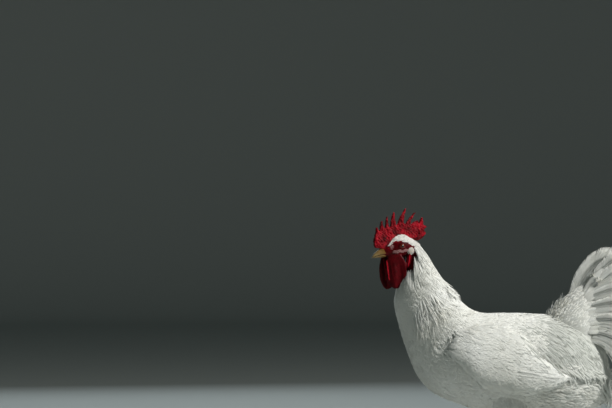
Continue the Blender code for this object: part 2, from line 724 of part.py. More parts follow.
def make_tail(material, body_cutter):
    """Tail coverts round the root, the two halves of the fan, and the sickle feathers."""
    x, z, half_length, half_thickness = smooth(
        TAIL_BASE_STATIONS, np.linspace(0, len(TAIL_BASE_STATIONS) - 1, 7)).T
    angle = np.linspace(0, 2 * math.pi, 16, endpoint=False)
    forward = np.array([-math.sin(TAIL_BASE_TILT), math.cos(TAIL_BASE_TILT)])
    rings = np.empty((len(x), 16, 3))
    rings[:, :, 0] = x[:, None] + np.cos(angle) * half_length[:, None] * forward[0]
    rings[:, :, 1] = np.sin(angle) * half_thickness[:, None]
    rings[:, :, 2] = z[:, None] + np.cos(angle) * half_length[:, None] * forward[1]
    coverts = add_rings("tail_coverts", rings, material)
    cut(coverts, body_cutter)
    cutters = (cutter_of(coverts), body_cutter)
    for turn, word in ((-1, "left"), (1, "right")):
        make_fan(turn, word, material, cutters)
        points, width, layer = MAIN_SICKLE
        make_sickle("main_sickle_" + word, turn, points, width, layer, material, cutters, 13)
        for number, (points, width, layer) in enumerate(LESSER_SICKLES, start=1):
            name = f"lesser_sickle_{number}_{word}"
            make_sickle(name, turn, points, width, layer, material, cutters, 9)


# ---------------------------------------------------------------- the whole bird


def main():
    for old in list(bpy.data.objects):
        bpy.data.objects.remove(old)
    materials = {name: plain_material(name) for name in COLOURS}
    body, whole, body_cutter = make_body(materials["plumage"])
    make_head(materials, body, body_cutter)
    make_wings(materials["plumage"], whole, body_cutter)
    make_leg(1, "left", -STRIDE, materials, body_cutter)
    make_leg(-1, "right", STRIDE, materials, body_cutter)
    make_tail(materials["plumage"], body_cutter)


main()
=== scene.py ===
import math

import bmesh
import bpy
import numpy as np
from mathutils import Euler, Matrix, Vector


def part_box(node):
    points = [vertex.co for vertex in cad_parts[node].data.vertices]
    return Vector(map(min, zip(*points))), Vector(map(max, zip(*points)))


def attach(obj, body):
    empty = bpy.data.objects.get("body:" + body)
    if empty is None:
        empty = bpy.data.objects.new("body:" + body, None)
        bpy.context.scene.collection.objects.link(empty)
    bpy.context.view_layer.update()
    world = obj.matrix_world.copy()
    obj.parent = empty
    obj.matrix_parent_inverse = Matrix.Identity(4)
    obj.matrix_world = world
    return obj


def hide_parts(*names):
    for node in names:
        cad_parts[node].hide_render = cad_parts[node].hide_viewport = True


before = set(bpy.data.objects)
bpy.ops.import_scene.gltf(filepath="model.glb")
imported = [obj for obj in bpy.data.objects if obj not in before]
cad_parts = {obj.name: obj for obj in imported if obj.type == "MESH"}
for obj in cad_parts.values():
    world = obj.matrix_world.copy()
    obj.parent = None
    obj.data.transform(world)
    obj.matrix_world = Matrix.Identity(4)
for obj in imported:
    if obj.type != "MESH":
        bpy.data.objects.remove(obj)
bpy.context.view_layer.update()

# ---------------------------------------------------------------- flesh of the body
# Neck, breast, trunk and rump of a White Leghorn cock: one mass of muscle and skin under the
# feathers. It is lofted over upright ovals and lies inside the coat by the coat's depth.

MM = 0.001
FULL_TURN = 2 * math.pi
SIDES = ((-1, "left"), (1, "right"))  # sign of y on each side: the bird looks toward -x
# Back point (x, z), belly or throat point (x, z) and half width, from the rump to the neck's top.
BODY_STATIONS = (
    (101, 290, 99, 178, 38), (69, 317, 62, 165, 56), (32, 327, 22, 163, 65),
    (-13, 330, -28, 164, 68), (-53, 331, -83, 168, 69), (-88, 331, -135, 184, 69),
    (-109, 336, -171, 200, 67), (-123, 346, -197, 226, 62), (-137, 360, -217, 272, 54),
    (-153, 380, -230, 315, 45), (-169, 403, -237, 352, 37), (-184, 428, -229, 387, 26.5),
    (-200, 448, -219, 411, 16),
)
NECK_TOP = len(BODY_STATIONS) - 1
RUMP_POLE = (113, 228)
NECK_POLE = (-219, 438)
BODY_ROUNDNESS = 2.25
COAT_DEPTH = 6.5


def joined(*columns):
    """Points whose coordinates are the columns, stretched to one shape."""
    return np.stack(np.broadcast_arrays(*columns), axis=-1)


def circle(count):
    """So many angles, evenly round a full turn."""
    return np.linspace(0, FULL_TURN, count, endpoint=False)


def down(last, count):
    """Even steps from 0 to the last, as a column."""
    return np.linspace(0, last, count)[:, None]


def smooth(rows, place):
    """Catmull-Rom curve through the rows, read at places counted in rows."""
    rows = np.asarray(rows, float)
    place = np.clip(np.asarray(place, float), 0, len(rows) - 1)
    padded = np.vstack([2 * rows[0] - rows[1], rows, 2 * rows[-1] - rows[-2]])
    first = np.minimum(place.astype(int), len(rows) - 2)
    part = (place - first)[..., None]
    a, b, c, d = (padded[first + step] for step in range(4))
    bend = 2 * a - 5 * b + 4 * c - d
    twist = 3 * b - a - 3 * c + d
    return 0.5 * (2 * b + (c - a) * part + bend * part**2 + twist * part**3)


def rounded(angle, power):
    """Cosine and sine of the angle, squared off so that they trace an oval of that power."""
    cosine, sine = np.cos(angle), np.sin(angle)
    return (np.sign(cosine) * np.abs(cosine) ** (2 / power),
            np.sign(sine) * np.abs(sine) ** (2 / power))


def body_surface(place, angle, depth=0.0):
    """Point of the body at a place counted in stations and an angle round it from the spine.

    The oval at a place spans from its back point to its belly point and is as wide as its
    station says. Beyond either end the ovals shrink along a quarter circle to a pole. Depth
    takes that much off the oval's half height and half width.
    """
    place, angle = np.broadcast_arrays(np.asarray(place, float), np.asarray(angle, float))
    values = smooth(BODY_STATIONS, place)
    middle = (values[..., 0:2] + values[..., 2:4]) / 2
    reach = (values[..., 0:2] - values[..., 2:4]) / 2
    beyond = np.maximum(np.maximum(-place, place - NECK_TOP), 0) * math.pi / 2
    pole = np.where((place < 0)[..., None], RUMP_POLE, NECK_POLE)
    middle = middle + (pole - middle) * np.sin(beyond)[..., None]
    half_height = np.linalg.norm(reach, axis=-1)
    upward, across = rounded(angle, BODY_ROUNDNESS)
    rise = upward * (np.cos(beyond) - depth / half_height)
    wide = across * (np.cos(beyond) * values[..., 4] - depth)
    return joined(middle[..., 0] + rise * reach[..., 0], wide,
                  middle[..., 1] + rise * reach[..., 1])


def ring_quads(count, around):
    """Corner numbers of the quads between neighbouring rings of points."""
    ring, step = np.meshgrid(np.arange(count - 1), np.arange(around), indexing="ij")
    ahead = (step + 1) % around
    low, high = ring * around, (ring + 1) * around
    return joined(low + step, low + ahead, high + ahead, high + step).reshape(-1, 4)


def add_object(name, data):
    """New object of the scene with that data."""
    made = bpy.data.objects.new(name, data)
    bpy.context.collection.objects.link(made)
    return made


def closed_rings(name, stacks):
    """Object over stacks of rings in millimetres, each closed by a flat face at either end."""
    points, faces, start = [], [], 0
    for rings in stacks:
        count, around = rings.shape[:2]
        points.append(rings.reshape(-1, 3))
        faces += (ring_quads(count, around) + start).tolist()
        faces.append(list(range(start, start + around)))
        faces.append(list(range(start + (count - 1) * around, start + count * around)))
        start += count * around
    mesh = bpy.data.meshes.new(name)
    mesh.from_pydata((np.concatenate(points) * MM).tolist(), [], faces)
    shape = bmesh.new()
    shape.from_mesh(mesh)
    bmesh.ops.recalc_face_normals(shape, faces=shape.faces)
    shape.to_mesh(mesh)
    shape.free()
    mesh.shade_smooth()
    return add_object(name, mesh)


def apply_modifiers(piece):
    """Give the piece the mesh that its modifiers make, and drop them."""
    graph = bpy.context.evaluated_depsgraph_get()
    made = bpy.data.meshes.new_from_object(piece.evaluated_get(graph))
    piece.modifiers.clear()
    piece.data = made


def melt(name, stacks, voxel, passes):
    """One closed skin over overlapping stacks of rings: a voxel remesh, then smoothing passes."""
    piece = closed_rings(name, stacks)
    remesh = piece.modifiers.new("remesh", "REMESH")
    remesh.mode = "VOXEL"
    remesh.voxel_size = voxel * MM
    soften = piece.modifiers.new("soften", "SMOOTH")
    soften.factor = 0.5
    soften.iterations = passes
    apply_modifiers(piece)
    return piece


BODY_VOXEL = 4.0
NAPE_START = 11.5  # place from which the neck's flesh is wider, to meet the head's
NAPE_WIDENING = 1.2
flesh_places = np.concatenate(
    [[-0.97, -0.85, -0.6, -0.3], np.arange(0, NECK_TOP + 0.1, 0.25), [12.3, 12.6, 12.8]])
body_flesh = body_surface(flesh_places[:, None], circle(36), COAT_DEPTH)
body_flesh[flesh_places > NAPE_START, :, 1] *= NAPE_WIDENING

# ---------------------------------------------------------------- flesh of the legs
# Thigh and drumstick under feathers, then the bare scaled shank, its ball and four toes. The
# horny scutes, claws and spurs are made further down and sit on this flesh.

# z, x of the centre, y outward of the foot, half depth, half width.
THIGH_STATIONS = (
    (222, -8, -14, 34, 22), (204, -7, -10, 35, 26), (180, 4, -5, 30, 24), (154, 16, -1, 21, 17.5),
    (133, 26, -2, 13, 11.5), (116.3, 31, -3, 8.4, 8.0),
)
SHANK_STATIONS = (
    (122, 32, -3, 8.4, 7.6), (108, 32, -3, 8.6, 7.6), (98, 30, -3, 6.8, 5.8),
    (70, 20.5, -2, 5.9, 5.2), (40, 9.5, -1, 6.0, 5.4), (22, 2.5, 0, 7.6, 7.0),
    (12, 0, 0, 11.4, 11.0), (5, 0, 0, 13.2, 13.0), (0, 0, 0, 11.6, 11.4),
)
FOOT_X = -51
FOOT_Y = 39
STRIDE = 12
HIP_HEIGHT = 200
# Name, turn inward from straight forward in degrees, length, half width, rise of the root.
TOES = (
    ("middle", 0, 60, 4.4, 0), ("inner", 40, 47, 4.2, 0), ("outer", -40, 49, 4.2, 0),
    ("hallux", 168, 36, 3.6, 4),
)
TOE_START = 8
TOE_TAPER = 0.34  # how much narrower its end is
TOE_JOINT = 0.07  # how much it swells at a joint
TOE_FLATNESS = 0.92  # height of a toe's oval, of its width
TOE_SEAT = 0.93  # level of its middle, of its half height
LEG_VOXEL = 1.0
THIGH_DEPTH = 3.0  # how far the thigh's flesh lies under its coat at its top
THIGH_COAT_END = 5.2  # fall at which that has gone


def leg_surface(stations, side, fall, angle, depth=0.0):
    """Point of a leg at a fall counted in stations from its top, and an angle round it.

    Level ovals, leaned so that the foot stands a stride's half in front of or behind the hip.
    """
    z, x, out, half_depth, half_width = np.moveaxis(smooth(stations, fall), -1, 0)
    shift = STRIDE * side
    lean = -shift * np.clip(z / HIP_HEIGHT, 0, 1)
    return joined(
        FOOT_X + shift + x + lean + np.cos(angle) * (half_depth - depth),
        side * (FOOT_Y + out) + np.sin(angle) * (half_width - depth),
        z)


def from_foot(side, turn, along, across, height):
    """Points so far along a toe's heading and across it, in the bird's frame."""
    heading = math.pi + side * math.radians(turn)
    return joined(
        FOOT_X + STRIDE * side + along * math.cos(heading) - across * math.sin(heading),
        side * FOOT_Y + along * math.sin(heading) + across * math.cos(heading),
        height)


def toe_places(side, turn, length, half_width, rise, share, angle, proud):
    """Point of a toe at a share of its length and an angle round it from its outer side.

    The toe is a row of low ovals that swell at each joint and are flat underneath. Its root is
    lifted by the rise.
    """
    taper = (1 - TOE_TAPER * share) * (1 + TOE_JOINT * np.cos(share * 7 * math.pi))
    wide = half_width * taper + proud
    tall = half_width * TOE_FLATNESS * taper + proud
    along = TOE_START + (length - TOE_START) * share
    lift = rise * (1 - share) ** 1.5
    height = np.maximum(lift + tall * TOE_SEAT + np.sin(angle) * tall, 0)
    return from_foot(side, turn, along, np.cos(angle) * wide, height)


leg_flesh = []
for side in (-1, 1):
    fall = down(len(THIGH_STATIONS) - 1, 16)
    leg_flesh.append(leg_surface(
        THIGH_STATIONS, side, fall, circle(24), THIGH_DEPTH * (1 - fall / THIGH_COAT_END)))
    fall = down(len(SHANK_STATIONS) - 1, 40)
    leg_flesh.append(leg_surface(SHANK_STATIONS, side, fall, circle(24), 0.5))
    for _, *shape in TOES:
        leg_flesh.append(toe_places(side, *shape, down(1, 30), circle(24), -0.4))

# ---------------------------------------------------------------- flesh of the head
# Skull and bare face with the single comb, the two wattles and the ear lobes. All are one skin
# on the living bird, so they are melted together, and the lids ring the eyes.

# The head's own frame: x forward to the beak, y to the bird's left, z up, between the eyes.
HEAD_PLACE = np.array((-230, -8, 442.5))
HEAD_TURN = math.radians(20)
HEAD_NOD = math.radians(12)
HEAD_AXES = np.array(Euler((0, HEAD_NOD, math.pi + HEAD_TURN)).to_matrix())
# x, top, level of the widest place, bottom, half width.
HEAD_STATIONS = (
    (-31, -1.5, -6.5, -15, 9.5), (-20, 9, -3, -19, 14), (-8, 17, -3, -20.5, 16.5),
    (4, 17, -4, -20, 16), (13, 12.5, -5, -17.5, 13.8), (21, 8, -5.5, -15, 11.3),
    (29, 3.6, -5.5, -12.6, 8.4), (34, 0.6, -6, -10.6, 5.6),
)
# The comb's edge without its spikes, from under its front over the top to under its rear blade.
COMB_EDGE = (
    (20.8, 1.5), (40.2, 5.0), (41.4, 15.5), (36.4, 28.5), (29.1, 31.3), (19.7, 32.3),
    (10.2, 33.7), (-3.1, 34.3), (-17.4, 33.5), (-28.1, 31.4), (-42.1, 29.2), (-49.4, 24.6),
    (-48.8, 17.0), (-46.0, 7.0), (-36.5, 2.2), (-28.5, 3.2), (-22.7, 7.2),
)
COMB_ROOT = ((18, -4), (15, 2), (9, 9), (0, 12), (-9, 12), (-16, 9), (-20, 5), (-21, 2))
COMB_SPIKES = {  # number of the edge point before the spike: its tip from the middle of its foot
    3: (-0.4, 6.2), 4: (-3.3, 15.0), 5: (-4.5, 19.0), 6: (-6.5, 22.0), 7: (-14.0, 24.3),
    8: (-17.3, 15.7), 9: (-4.4, 3.6), 10: (-2.8, 10.0), 11: (-4.8, -0.2), 12: (-2.9, -0.8),
}
COMB_SPIKE_SHARE = 0.8  # of the way between its edge points that a spike's foot takes
COMB_SPIKE_TIP = 0.12  # half width of a spike's blunt tip, of its foot's half width
COMB_HALF_THICKNESS = (5.2, 3.4, 1.5)  # at the root, at the feet of the spikes, at their tips
COMB_FRONT_SWELLING = 2.6
COMB_TALLEST = 25  # height of a spike whose rim is the thinnest
COMB_FURROW = 0.30  # depth of the furrows between the spikes, of the thickness there
# Forward, up, half width, half thickness of a hanging wattle.
WATTLE_STATIONS = (
    (14.5, -8, 8, 2.2), (16, -24, 15.5, 2.8), (17.6, -37, 17.2, 2.9), (19.6, -50, 15.6, 2.8),
    (21, -60, 11, 2.4), (21.7, -66.5, 4.5, 1.5),
)
WATTLE_SPREAD = 10
WATTLE_SPLAY = 0.3
WATTLE_FOLD = 1.3  # depth of its soft fold
WATTLE_SHIFT = {1: 0, -1: 7}  # how far forward the left and the right one hang
LOBE_PLACE = (-13.2, 14.6, -11.3)
LOBE_SIZE = (6.2, 3.4, 6.0)
LAPPET_PLACE = (-6.6, 13.6, -25.5)  # red fold of skin under the lobe
LAPPET_SIZE = (5.4, 3.6, 12.0)
LAPPET_SHEAR = 0.4  # how far it runs forward for each step down
EYE_RADIUS = 6.5
EYE_DEPTH = 11.3
LID_OPENING = (5.3, 4.1)  # half width and half height
LID_THICKNESS = 1.05
HEAD_ROUNDNESS = (2.1, 2.1)  # powers of its upper and its lower ovals
HEAD_VOXEL = 0.9


def from_head(points):
    """Points of the head's own frame, in the bird's frame."""
    return HEAD_PLACE + points @ HEAD_AXES.T


def to_head(points):
    """Points of the bird's frame, in the head's own frame."""
    return (points - HEAD_PLACE) @ HEAD_AXES


def head_oval(stations, place, angle, top_power, bottom_power):
    """Point of an oval across the head's own x, whose widest place has its own level."""
    x, top, level, bottom, half_width = np.moveaxis(smooth(stations, place), -1, 0)
    wide_top, tall_top = rounded(angle, top_power)
    wide_low, tall_low = rounded(angle, bottom_power)
    above = np.sin(angle) >= 0
    wide = np.where(above, wide_top, wide_low)
    tall = np.where(above, tall_top, tall_low)
    rise = np.where(above, top - level, level - bottom)
    return joined(x, wide * half_width, level + tall * rise)


def domed(rings, before, after):
    """The rings with smaller ones at each end, which reach that far beyond it along x."""
    bulge = np.linspace(0.2, 1.4, 5)[:, None, None]
    first, last = rings[0], rings[-1]
    start = first.mean(0) + (first - first.mean(0)) * np.cos(bulge)
    end = last.mean(0) + (last - last.mean(0)) * np.cos(bulge)
    start = start - np.array((before, 0, 0)) * np.sin(bulge)
    end = end + np.array((after, 0, 0)) * np.sin(bulge)
    return np.concatenate([start[::-1], rings, end])


def comb_rings(steps, rows):
    """Sections through the comb from its front to its rear.

    A column starts on the root line and reaches the edge line, and where a spike stands it goes
    on. The spike's height over its foot is a raised cosine with a blunt top, and its lean grows
    with the 1.5th power of its height. The comb's thickness falls from the root to the edge, its
    front is swollen, and shallow furrows run up it between the spikes.
    """
    places = np.arange((len(COMB_EDGE) - 1) * steps + 1) / steps
    tips = np.array([COMB_SPIKES.get(index, (0, 0)) for index in range(len(COMB_EDGE))], float)
    share = places % 1
    from_middle = np.abs(2 * share - 1) / COMB_SPIKE_SHARE
    slope = np.clip((from_middle - COMB_SPIKE_TIP) / (1 - COMB_SPIKE_TIP), 0, 1)
    height = (1 + np.cos(math.pi * slope)) / 2
    growth = tips[places.astype(int)] * joined(height**1.5, height)
    edge = smooth(COMB_EDGE, places)
    root = smooth(COMB_ROOT, places * (len(COMB_ROOT) - 1) / (len(COMB_EDGE) - 1))
    climb = down(1, rows)
    plane = root[:, None] + (edge - root)[:, None] * climb + growth[:, None] * climb**4
    climb = climb[:, 0]
    tallness = np.linalg.norm(growth, axis=1)[:, None] / COMB_TALLEST
    at_root, at_foot, at_tip = COMB_HALF_THICKNESS
    rim = at_foot + (at_tip - at_foot) * (0.45 + 0.55 * np.minimum(tallness * 1.5, 1))
    thick = at_root + (rim - at_root) * climb**1.5
    front = np.clip((plane[:, :, 0] - 22) / 14, 0, 1)
    thick = thick + COMB_FRONT_SWELLING * front * (1 - 0.6 * climb)
    furrow = np.cos(FULL_TURN * share) * np.clip(np.abs(tips[places.astype(int), 1]) / 10, 0, 1)
    thick = thick * (1 - COMB_FURROW * furrow[:, None] * climb * (0.3 + 0.7 * climb))
    left = joined(plane[:, :, 0], thick, plane[:, :, 1])
    return np.concatenate([left, left[:, ::-1] * (1, -1, 1)], axis=1)


def wattle_rings(side):
    """Level ovals down a wattle, splayed outward toward its rear edge, with a soft fold."""
    places = down(len(WATTLE_STATIONS) - 1, 30)
    forward, up, half_width, half_thickness = np.moveaxis(smooth(WATTLE_STATIONS, places), -1, 0)
    angle = circle(40)
    length = np.cos(angle) * half_width
    fold = WATTLE_FOLD * np.sin(length * 0.33 + 0.4) * np.clip((-up - 16) / 18, 0, 1)
    outward = WATTLE_SPREAD - WATTLE_SPLAY * length + fold
    outward = outward + np.sin(angle) * half_thickness * (1 + 0.25 * np.abs(np.cos(angle)) ** 3)
    return joined(forward + WATTLE_SHIFT[side] + length, side * outward, up)


def ball_rings(place, half_sizes, side):
    """Ellipsoid of that side of the head, as a stack of level rings."""
    angle = circle(28)
    tilt = np.linspace(-0.48, 0.48, 14)[:, None] * math.pi
    ball = joined(np.cos(tilt) * np.cos(angle), np.cos(tilt) * np.sin(angle), np.sin(tilt))
    return ball * half_sizes + np.array(place) * (1, side, 1)


def lid_rings(side):
    """Tube round the eye's opening: it follows an oval on a ball a little larger than the eye."""
    turn = down(FULL_TURN * 1.03, 60)
    tube = circle(10)
    x = np.cos(turn) * (LID_OPENING[0] + LID_THICKNESS * np.cos(tube))
    z = np.sin(turn) * (LID_OPENING[1] + LID_THICKNESS * np.cos(tube)) + 0.2
    base = np.sqrt((EYE_RADIUS + 0.2) ** 2 - LID_OPENING[0] ** 2 * np.cos(turn) ** 2
                   - LID_OPENING[1] ** 2 * np.sin(turn) ** 2)
    return joined(x, side * (EYE_DEPTH + base + LID_THICKNESS * np.sin(tube)), z)


head_places = down(len(HEAD_STATIONS) - 1, 40)
skull = domed(head_oval(HEAD_STATIONS, head_places, circle(48), *HEAD_ROUNDNESS), before=3, after=3)
head_flesh = [skull, comb_rings(steps=12, rows=10)]
for side in (1, -1):
    lappet = ball_rings(LAPPET_PLACE, LAPPET_SIZE, side)
    lappet[..., 0] -= LAPPET_SHEAR * (lappet[..., 2] - LAPPET_PLACE[2])
    head_flesh += [wattle_rings(side), ball_rings(LOBE_PLACE, LOBE_SIZE, side), lappet,
                   lid_rings(side)]
head_flesh = [from_head(rings) for rings in head_flesh]

# ---------------------------------------------------------------- skin
# One skin over all the flesh: plucked skin under the coat, red skin with fine papillae on comb,
# face and wattles, white on the ear lobes and yellow on the scaled legs.


def new_material(name, **sockets):
    """Principled material, its node tree and its shader, with those numbers on its sockets."""
    material = bpy.data.materials.new(name)
    material.use_nodes = True
    tree = material.node_tree
    shader = tree.nodes["Principled BSDF"]
    for socket, value in sockets.items():
        shader.inputs[socket.replace("_", " ")].default_value = value
    return material, tree, shader


def add_node(tree, kind, **settings):
    """Node of that kind with its settings and the values of its sockets."""
    node = tree.nodes.new("ShaderNode" + kind)
    for name, value in settings.items():
        if name in node.inputs:
            node.inputs[name].default_value = value
        else:
            setattr(node, name, value)
    return node


def own_place(tree, socket):
    """Link the piece's own object coordinates to the socket."""
    tree.links.new(add_node(tree, "TexCoord").outputs["Object"], socket)


def pattern(tree, kind, scale, output="Fac", **settings):
    """Pattern on the piece's own object coordinates, so many times a metre."""
    texture = add_node(tree, kind, Scale=scale, **settings)
    own_place(tree, texture.inputs["Vector"])
    return texture.outputs[output]


def blend_colours(tree, share, stops):
    """Colour ramp over the share: pairs of a place and a colour."""
    ramp = add_node(tree, "ValToRGB")
    tree.links.new(share, ramp.inputs["Fac"])
    elements = ramp.color_ramp.elements
    while len(elements) < len(stops):
        elements.new(0.5)
    for element, (place, colour) in zip(elements, stops):
        element.position = place
        element.color = (*colour, 1)
    return ramp.outputs["Color"]


def add_bump(tree, shader, height, strength, distance):
    """Bump of that depth in metres, on top of any bump that the shader has."""
    bump = add_node(tree, "Bump", Strength=strength, Distance=distance)
    tree.links.new(height, bump.inputs["Height"])
    socket = shader.inputs["Normal"]
    if socket.is_linked:
        tree.links.new(socket.links[0].from_socket, bump.inputs["Normal"])
    tree.links.new(bump.outputs["Normal"], socket)


def flesh_material(name, stops, scale, roughness, grain, depth, soft):
    """Skin with blotches of colour, papillae as bump, and light scattered just below it."""
    material, tree, shader = new_material(
        name, Roughness=roughness, Specular_IOR_Level=0.09, Subsurface_Weight=soft,
        Subsurface_Scale=0.003, Subsurface_Radius=(1, 0.25, 0.15))
    blotch = pattern(tree, "TexNoise", scale, Detail=5, Roughness=0.6)
    tree.links.new(blend_colours(tree, blotch, stops), shader.inputs["Base Color"])
    papillae = pattern(tree, "TexVoronoi", grain, "Distance")
    add_bump(tree, shader, papillae, 0.7, depth)
    wrinkles = pattern(tree, "TexNoise", grain / 5, Detail=3)
    add_bump(tree, shader, wrinkles, 0.5, depth * 2)
    return material


def unit(vectors):
    """The vectors at length 1."""
    return vectors / np.maximum(np.linalg.norm(vectors, axis=-1), 1e-9)[..., None]


WAVES = 14  # in a random field


def swell(points, wavelength, seed):
    """Smooth random field about zero: a sum of sine waves in random directions."""
    rng = np.random.default_rng(seed)
    waves = unit(rng.normal(0, 1, (WAVES, 3))) * (FULL_TURN / wavelength)
    waves = waves * rng.uniform(0.6, 1.5, (WAVES, 1))
    phases = rng.uniform(0, FULL_TURN, WAVES)
    return np.sin(points @ waves.T + phases).sum(-1) / math.sqrt(WAVES / 2)


# Share of the pattern and colour there.
COMB_SKIN = (
    (0.36, (0.06, 0.0006, 0.002)), (0.5, (0.22, 0.002, 0.008)), (0.66, (0.42, 0.006, 0.018)),
)
# Face and wattles: a much darker red than the comb, as painted shade.
SHADED_FACE_SKIN = (
    (0.3, (0.03, 0.0004, 0.001)), (0.5, (0.07, 0.001, 0.003)), (0.75, (0.13, 0.002, 0.006)),
)
# A brighter red along the sharp folds of the wattles and lappets: a painted highlight where the key
# light catches their crests.
FOLD_HIGHLIGHT_SKIN = ((0.3, (0.20, 0.003, 0.008)), (0.7, (0.52, 0.010, 0.024)))
WHITE_SKIN = ((0.3, (0.42, 0.36, 0.33)), (0.7, (0.58, 0.56, 0.52)))
PLUCKED_SKIN = ((0.3, (0.62, 0.52, 0.45)), (0.7, (0.76, 0.67, 0.58)))
LEG_SKIN = ((0.25, (0.50, 0.30, 0.06)), (0.7, (0.74, 0.52, 0.16)))

skin = melt("skin", [body_flesh], BODY_VOXEL, passes=4)
for part in (
    melt("head_flesh", head_flesh, HEAD_VOXEL, passes=3),
    melt("leg_flesh", leg_flesh, LEG_VOXEL, passes=3),
):
    union = skin.modifiers.new("join " + part.name, "BOOLEAN")
    union.operation = "UNION"
    union.solver = "MANIFOLD"
    union.object = part
    apply_modifiers(skin)
    bpy.data.objects.remove(part)

skin.data.materials.clear()
# Name, colours, blotches a metre, roughness, papillae a metre and their depth, light inside.
for material in (
    flesh_material("plucked_skin", PLUCKED_SKIN, 60, 0.55, 500, 0.0004, 0.1),
    flesh_material("comb_skin", COMB_SKIN, 85, 0.42, 700, 0.0008, 0.03),
    flesh_material("lobe_skin", WHITE_SKIN, 150, 0.5, 900, 0.0003, 0.2),
    flesh_material("leg_skin", LEG_SKIN, 120, 0.45, 700, 0.0004, 0.05),
    flesh_material("shaded_face_skin", SHADED_FACE_SKIN, 90, 0.36, 800, 0.0003, 0.03),
    flesh_material("fold_highlight_skin", FOLD_HIGHLIGHT_SKIN, 90, 0.36, 800, 0.0002, 0.05),
):
    skin.data.materials.append(material)

COMB, LOBE, LEG, FACE, FOLD = range(1, 6)  # their numbers: the plucked skin's is 0
HEAD_BOTTOM = 360  # z over which all the skin is the head's
COMB_BOTTOM = 400
LEG_TOP = 121  # z under which all of it is scaled
COMB_GRAIN = 4.2  # wavelength of the lumps of the comb
COMB_LUMP = 0.42  # their height
COMB_FOOT = ((-50, -28, -22, 0, 20, 42), (0, 3, 9, 19, 8, 3))  # where the comb starts, x and z
FOLD_SPACING = 6.0  # of the soft folds that run down the wattles
FOLD_DEPTH = 0.2
CREST_LINE = ((17, 50), (29.0, 31.5))  # depth and x of the sharp fold down each wattle's front
CREST_RADIUS = 1.0
CREST_HEIGHT = 1.0
LAPPET_CREST = 0.4  # how far in front of the lappet's middle its fold runs
LAPPET_SPAN = (-25, 9)  # z of the middle of that fold, and its half length
LAPPET_INNER = 9  # distance from the middle plane at which the lappets begin

# The comb is lumpy all over, and the wattles hang in soft upright folds.
skin.data.update()
count = len(skin.data.vertices)
coordinates, outward = np.empty(count * 3, np.float32), np.empty(count * 3, np.float32)
skin.data.vertices.foreach_get("co", coordinates)
skin.data.vertices.foreach_get("normal", outward)
spot, outward = coordinates.reshape(-1, 3) / MM, outward.reshape(-1, 3)
local = to_head(spot)
in_comb = np.clip((local[:, 2] - np.interp(local[:, 0], *COMB_FOOT)) / 4, 0, 1)
in_comb = in_comb * np.clip((7 - np.abs(local[:, 1])) / 2, 0, 1) * (spot[:, 2] > COMB_BOTTOM)
in_wattle = np.clip((-15 - local[:, 2]) / 8, 0, 1) * (local[:, 0] > -5)
in_wattle = in_wattle * (spot[:, 2] > HEAD_BOTTOM)
lump = COMB_LUMP * in_comb * swell(local, COMB_GRAIN, 5)
fold = FOLD_DEPTH * in_wattle * swell(local * (1, 1, 0.12), FOLD_SPACING, 7)


def crest_share(local):
    """How near a place of the head is to a wattle's sharp fold or to the lappet's, 1 on it."""
    depth = np.clip(-local[:, 2], *CREST_LINE[0])
    off = np.hypot(local[:, 0] - np.interp(depth, *CREST_LINE), local[:, 2] + depth)
    lappet_x = LAPPET_PLACE[0] + LAPPET_CREST - LAPPET_SHEAR * (local[:, 2] - LAPPET_PLACE[2])
    past_end = np.clip(np.abs(local[:, 2] - LAPPET_SPAN[0]) - LAPPET_SPAN[1], 0, None)
    off_lappet = np.hypot(local[:, 0] - lappet_x, past_end)
    off_lappet = np.where(np.abs(local[:, 1]) > LAPPET_INNER, off_lappet, math.inf)
    return np.exp(-(np.minimum(off, off_lappet) / CREST_RADIUS) ** 2)


crest = CREST_HEIGHT * crest_share(local) * (local[:, 2] < -14)
spot = spot + outward * (lump + fold + crest)[:, None]
skin.data.vertices.foreach_set("co", (spot * MM).astype(np.float32).ravel())
skin.data.update()


def face_middles(piece):
    """Middles of the piece's faces, in millimetres."""
    middles = np.empty(len(piece.data.polygons) * 3, np.float32)
    piece.data.polygons.foreach_get("center", middles)
    return middles.reshape(-1, 3) / MM


middles = face_middles(skin)
local = to_head(middles)
region = np.zeros(len(middles), np.int32)
forward, sideways, up = local[:, 0], np.abs(local[:, 1]), local[:, 2]
on_head = (forward > -60) & (up > -72) & (middles[:, 2] > HEAD_BOTTOM)
on_nape = (forward < -24) & ((up < 0) | (sideways > 3.5) & (up < 3))
region[on_head & ~on_nape] = COMB
# The face and the wattles take the darker red that stands for their shade: painted shade.
on_face = ((up < 7.5) & (forward < 22)) | (up < 0)
region[on_head & ~on_nape & on_face] = FACE
# Faces along each sharp fold take the brighter red of the painted highlight.
region[on_head & (crest_share(local) > 0.45) & (up < -16)] = FOLD
from_lobe = (joined(forward, sideways, up) - LOBE_PLACE) / LOBE_SIZE
region[on_head & ((from_lobe**2).sum(1) < 1.12)] = LOBE
region[middles[:, 2] < LEG_TOP] = LEG
skin.data.polygons.foreach_set("material_index", region)
skin.data.shade_smooth()
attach(skin, "root")
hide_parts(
    "rump", "trunk", "breast", "neck_lower", "neck_upper", "head", "comb", "wattle_left",
    "wattle_right", "ear_lobe_left", "ear_lobe_right", "thigh_left", "thigh_right", "shank_left",
    "shank_right", *(f"toe_{toe[0]}_{word}" for toe in TOES for word in ("left", "right")))

# ---------------------------------------------------------------- eyes
# Each eye is a ball with a clear, slightly bulging front. The iris is orange-red, painted much
# darker as painted shade, and the pupil is black. The lids of the skin hold it.

IRIS_RADIUS = 5.0
CORNEA_BULGE = 0.45


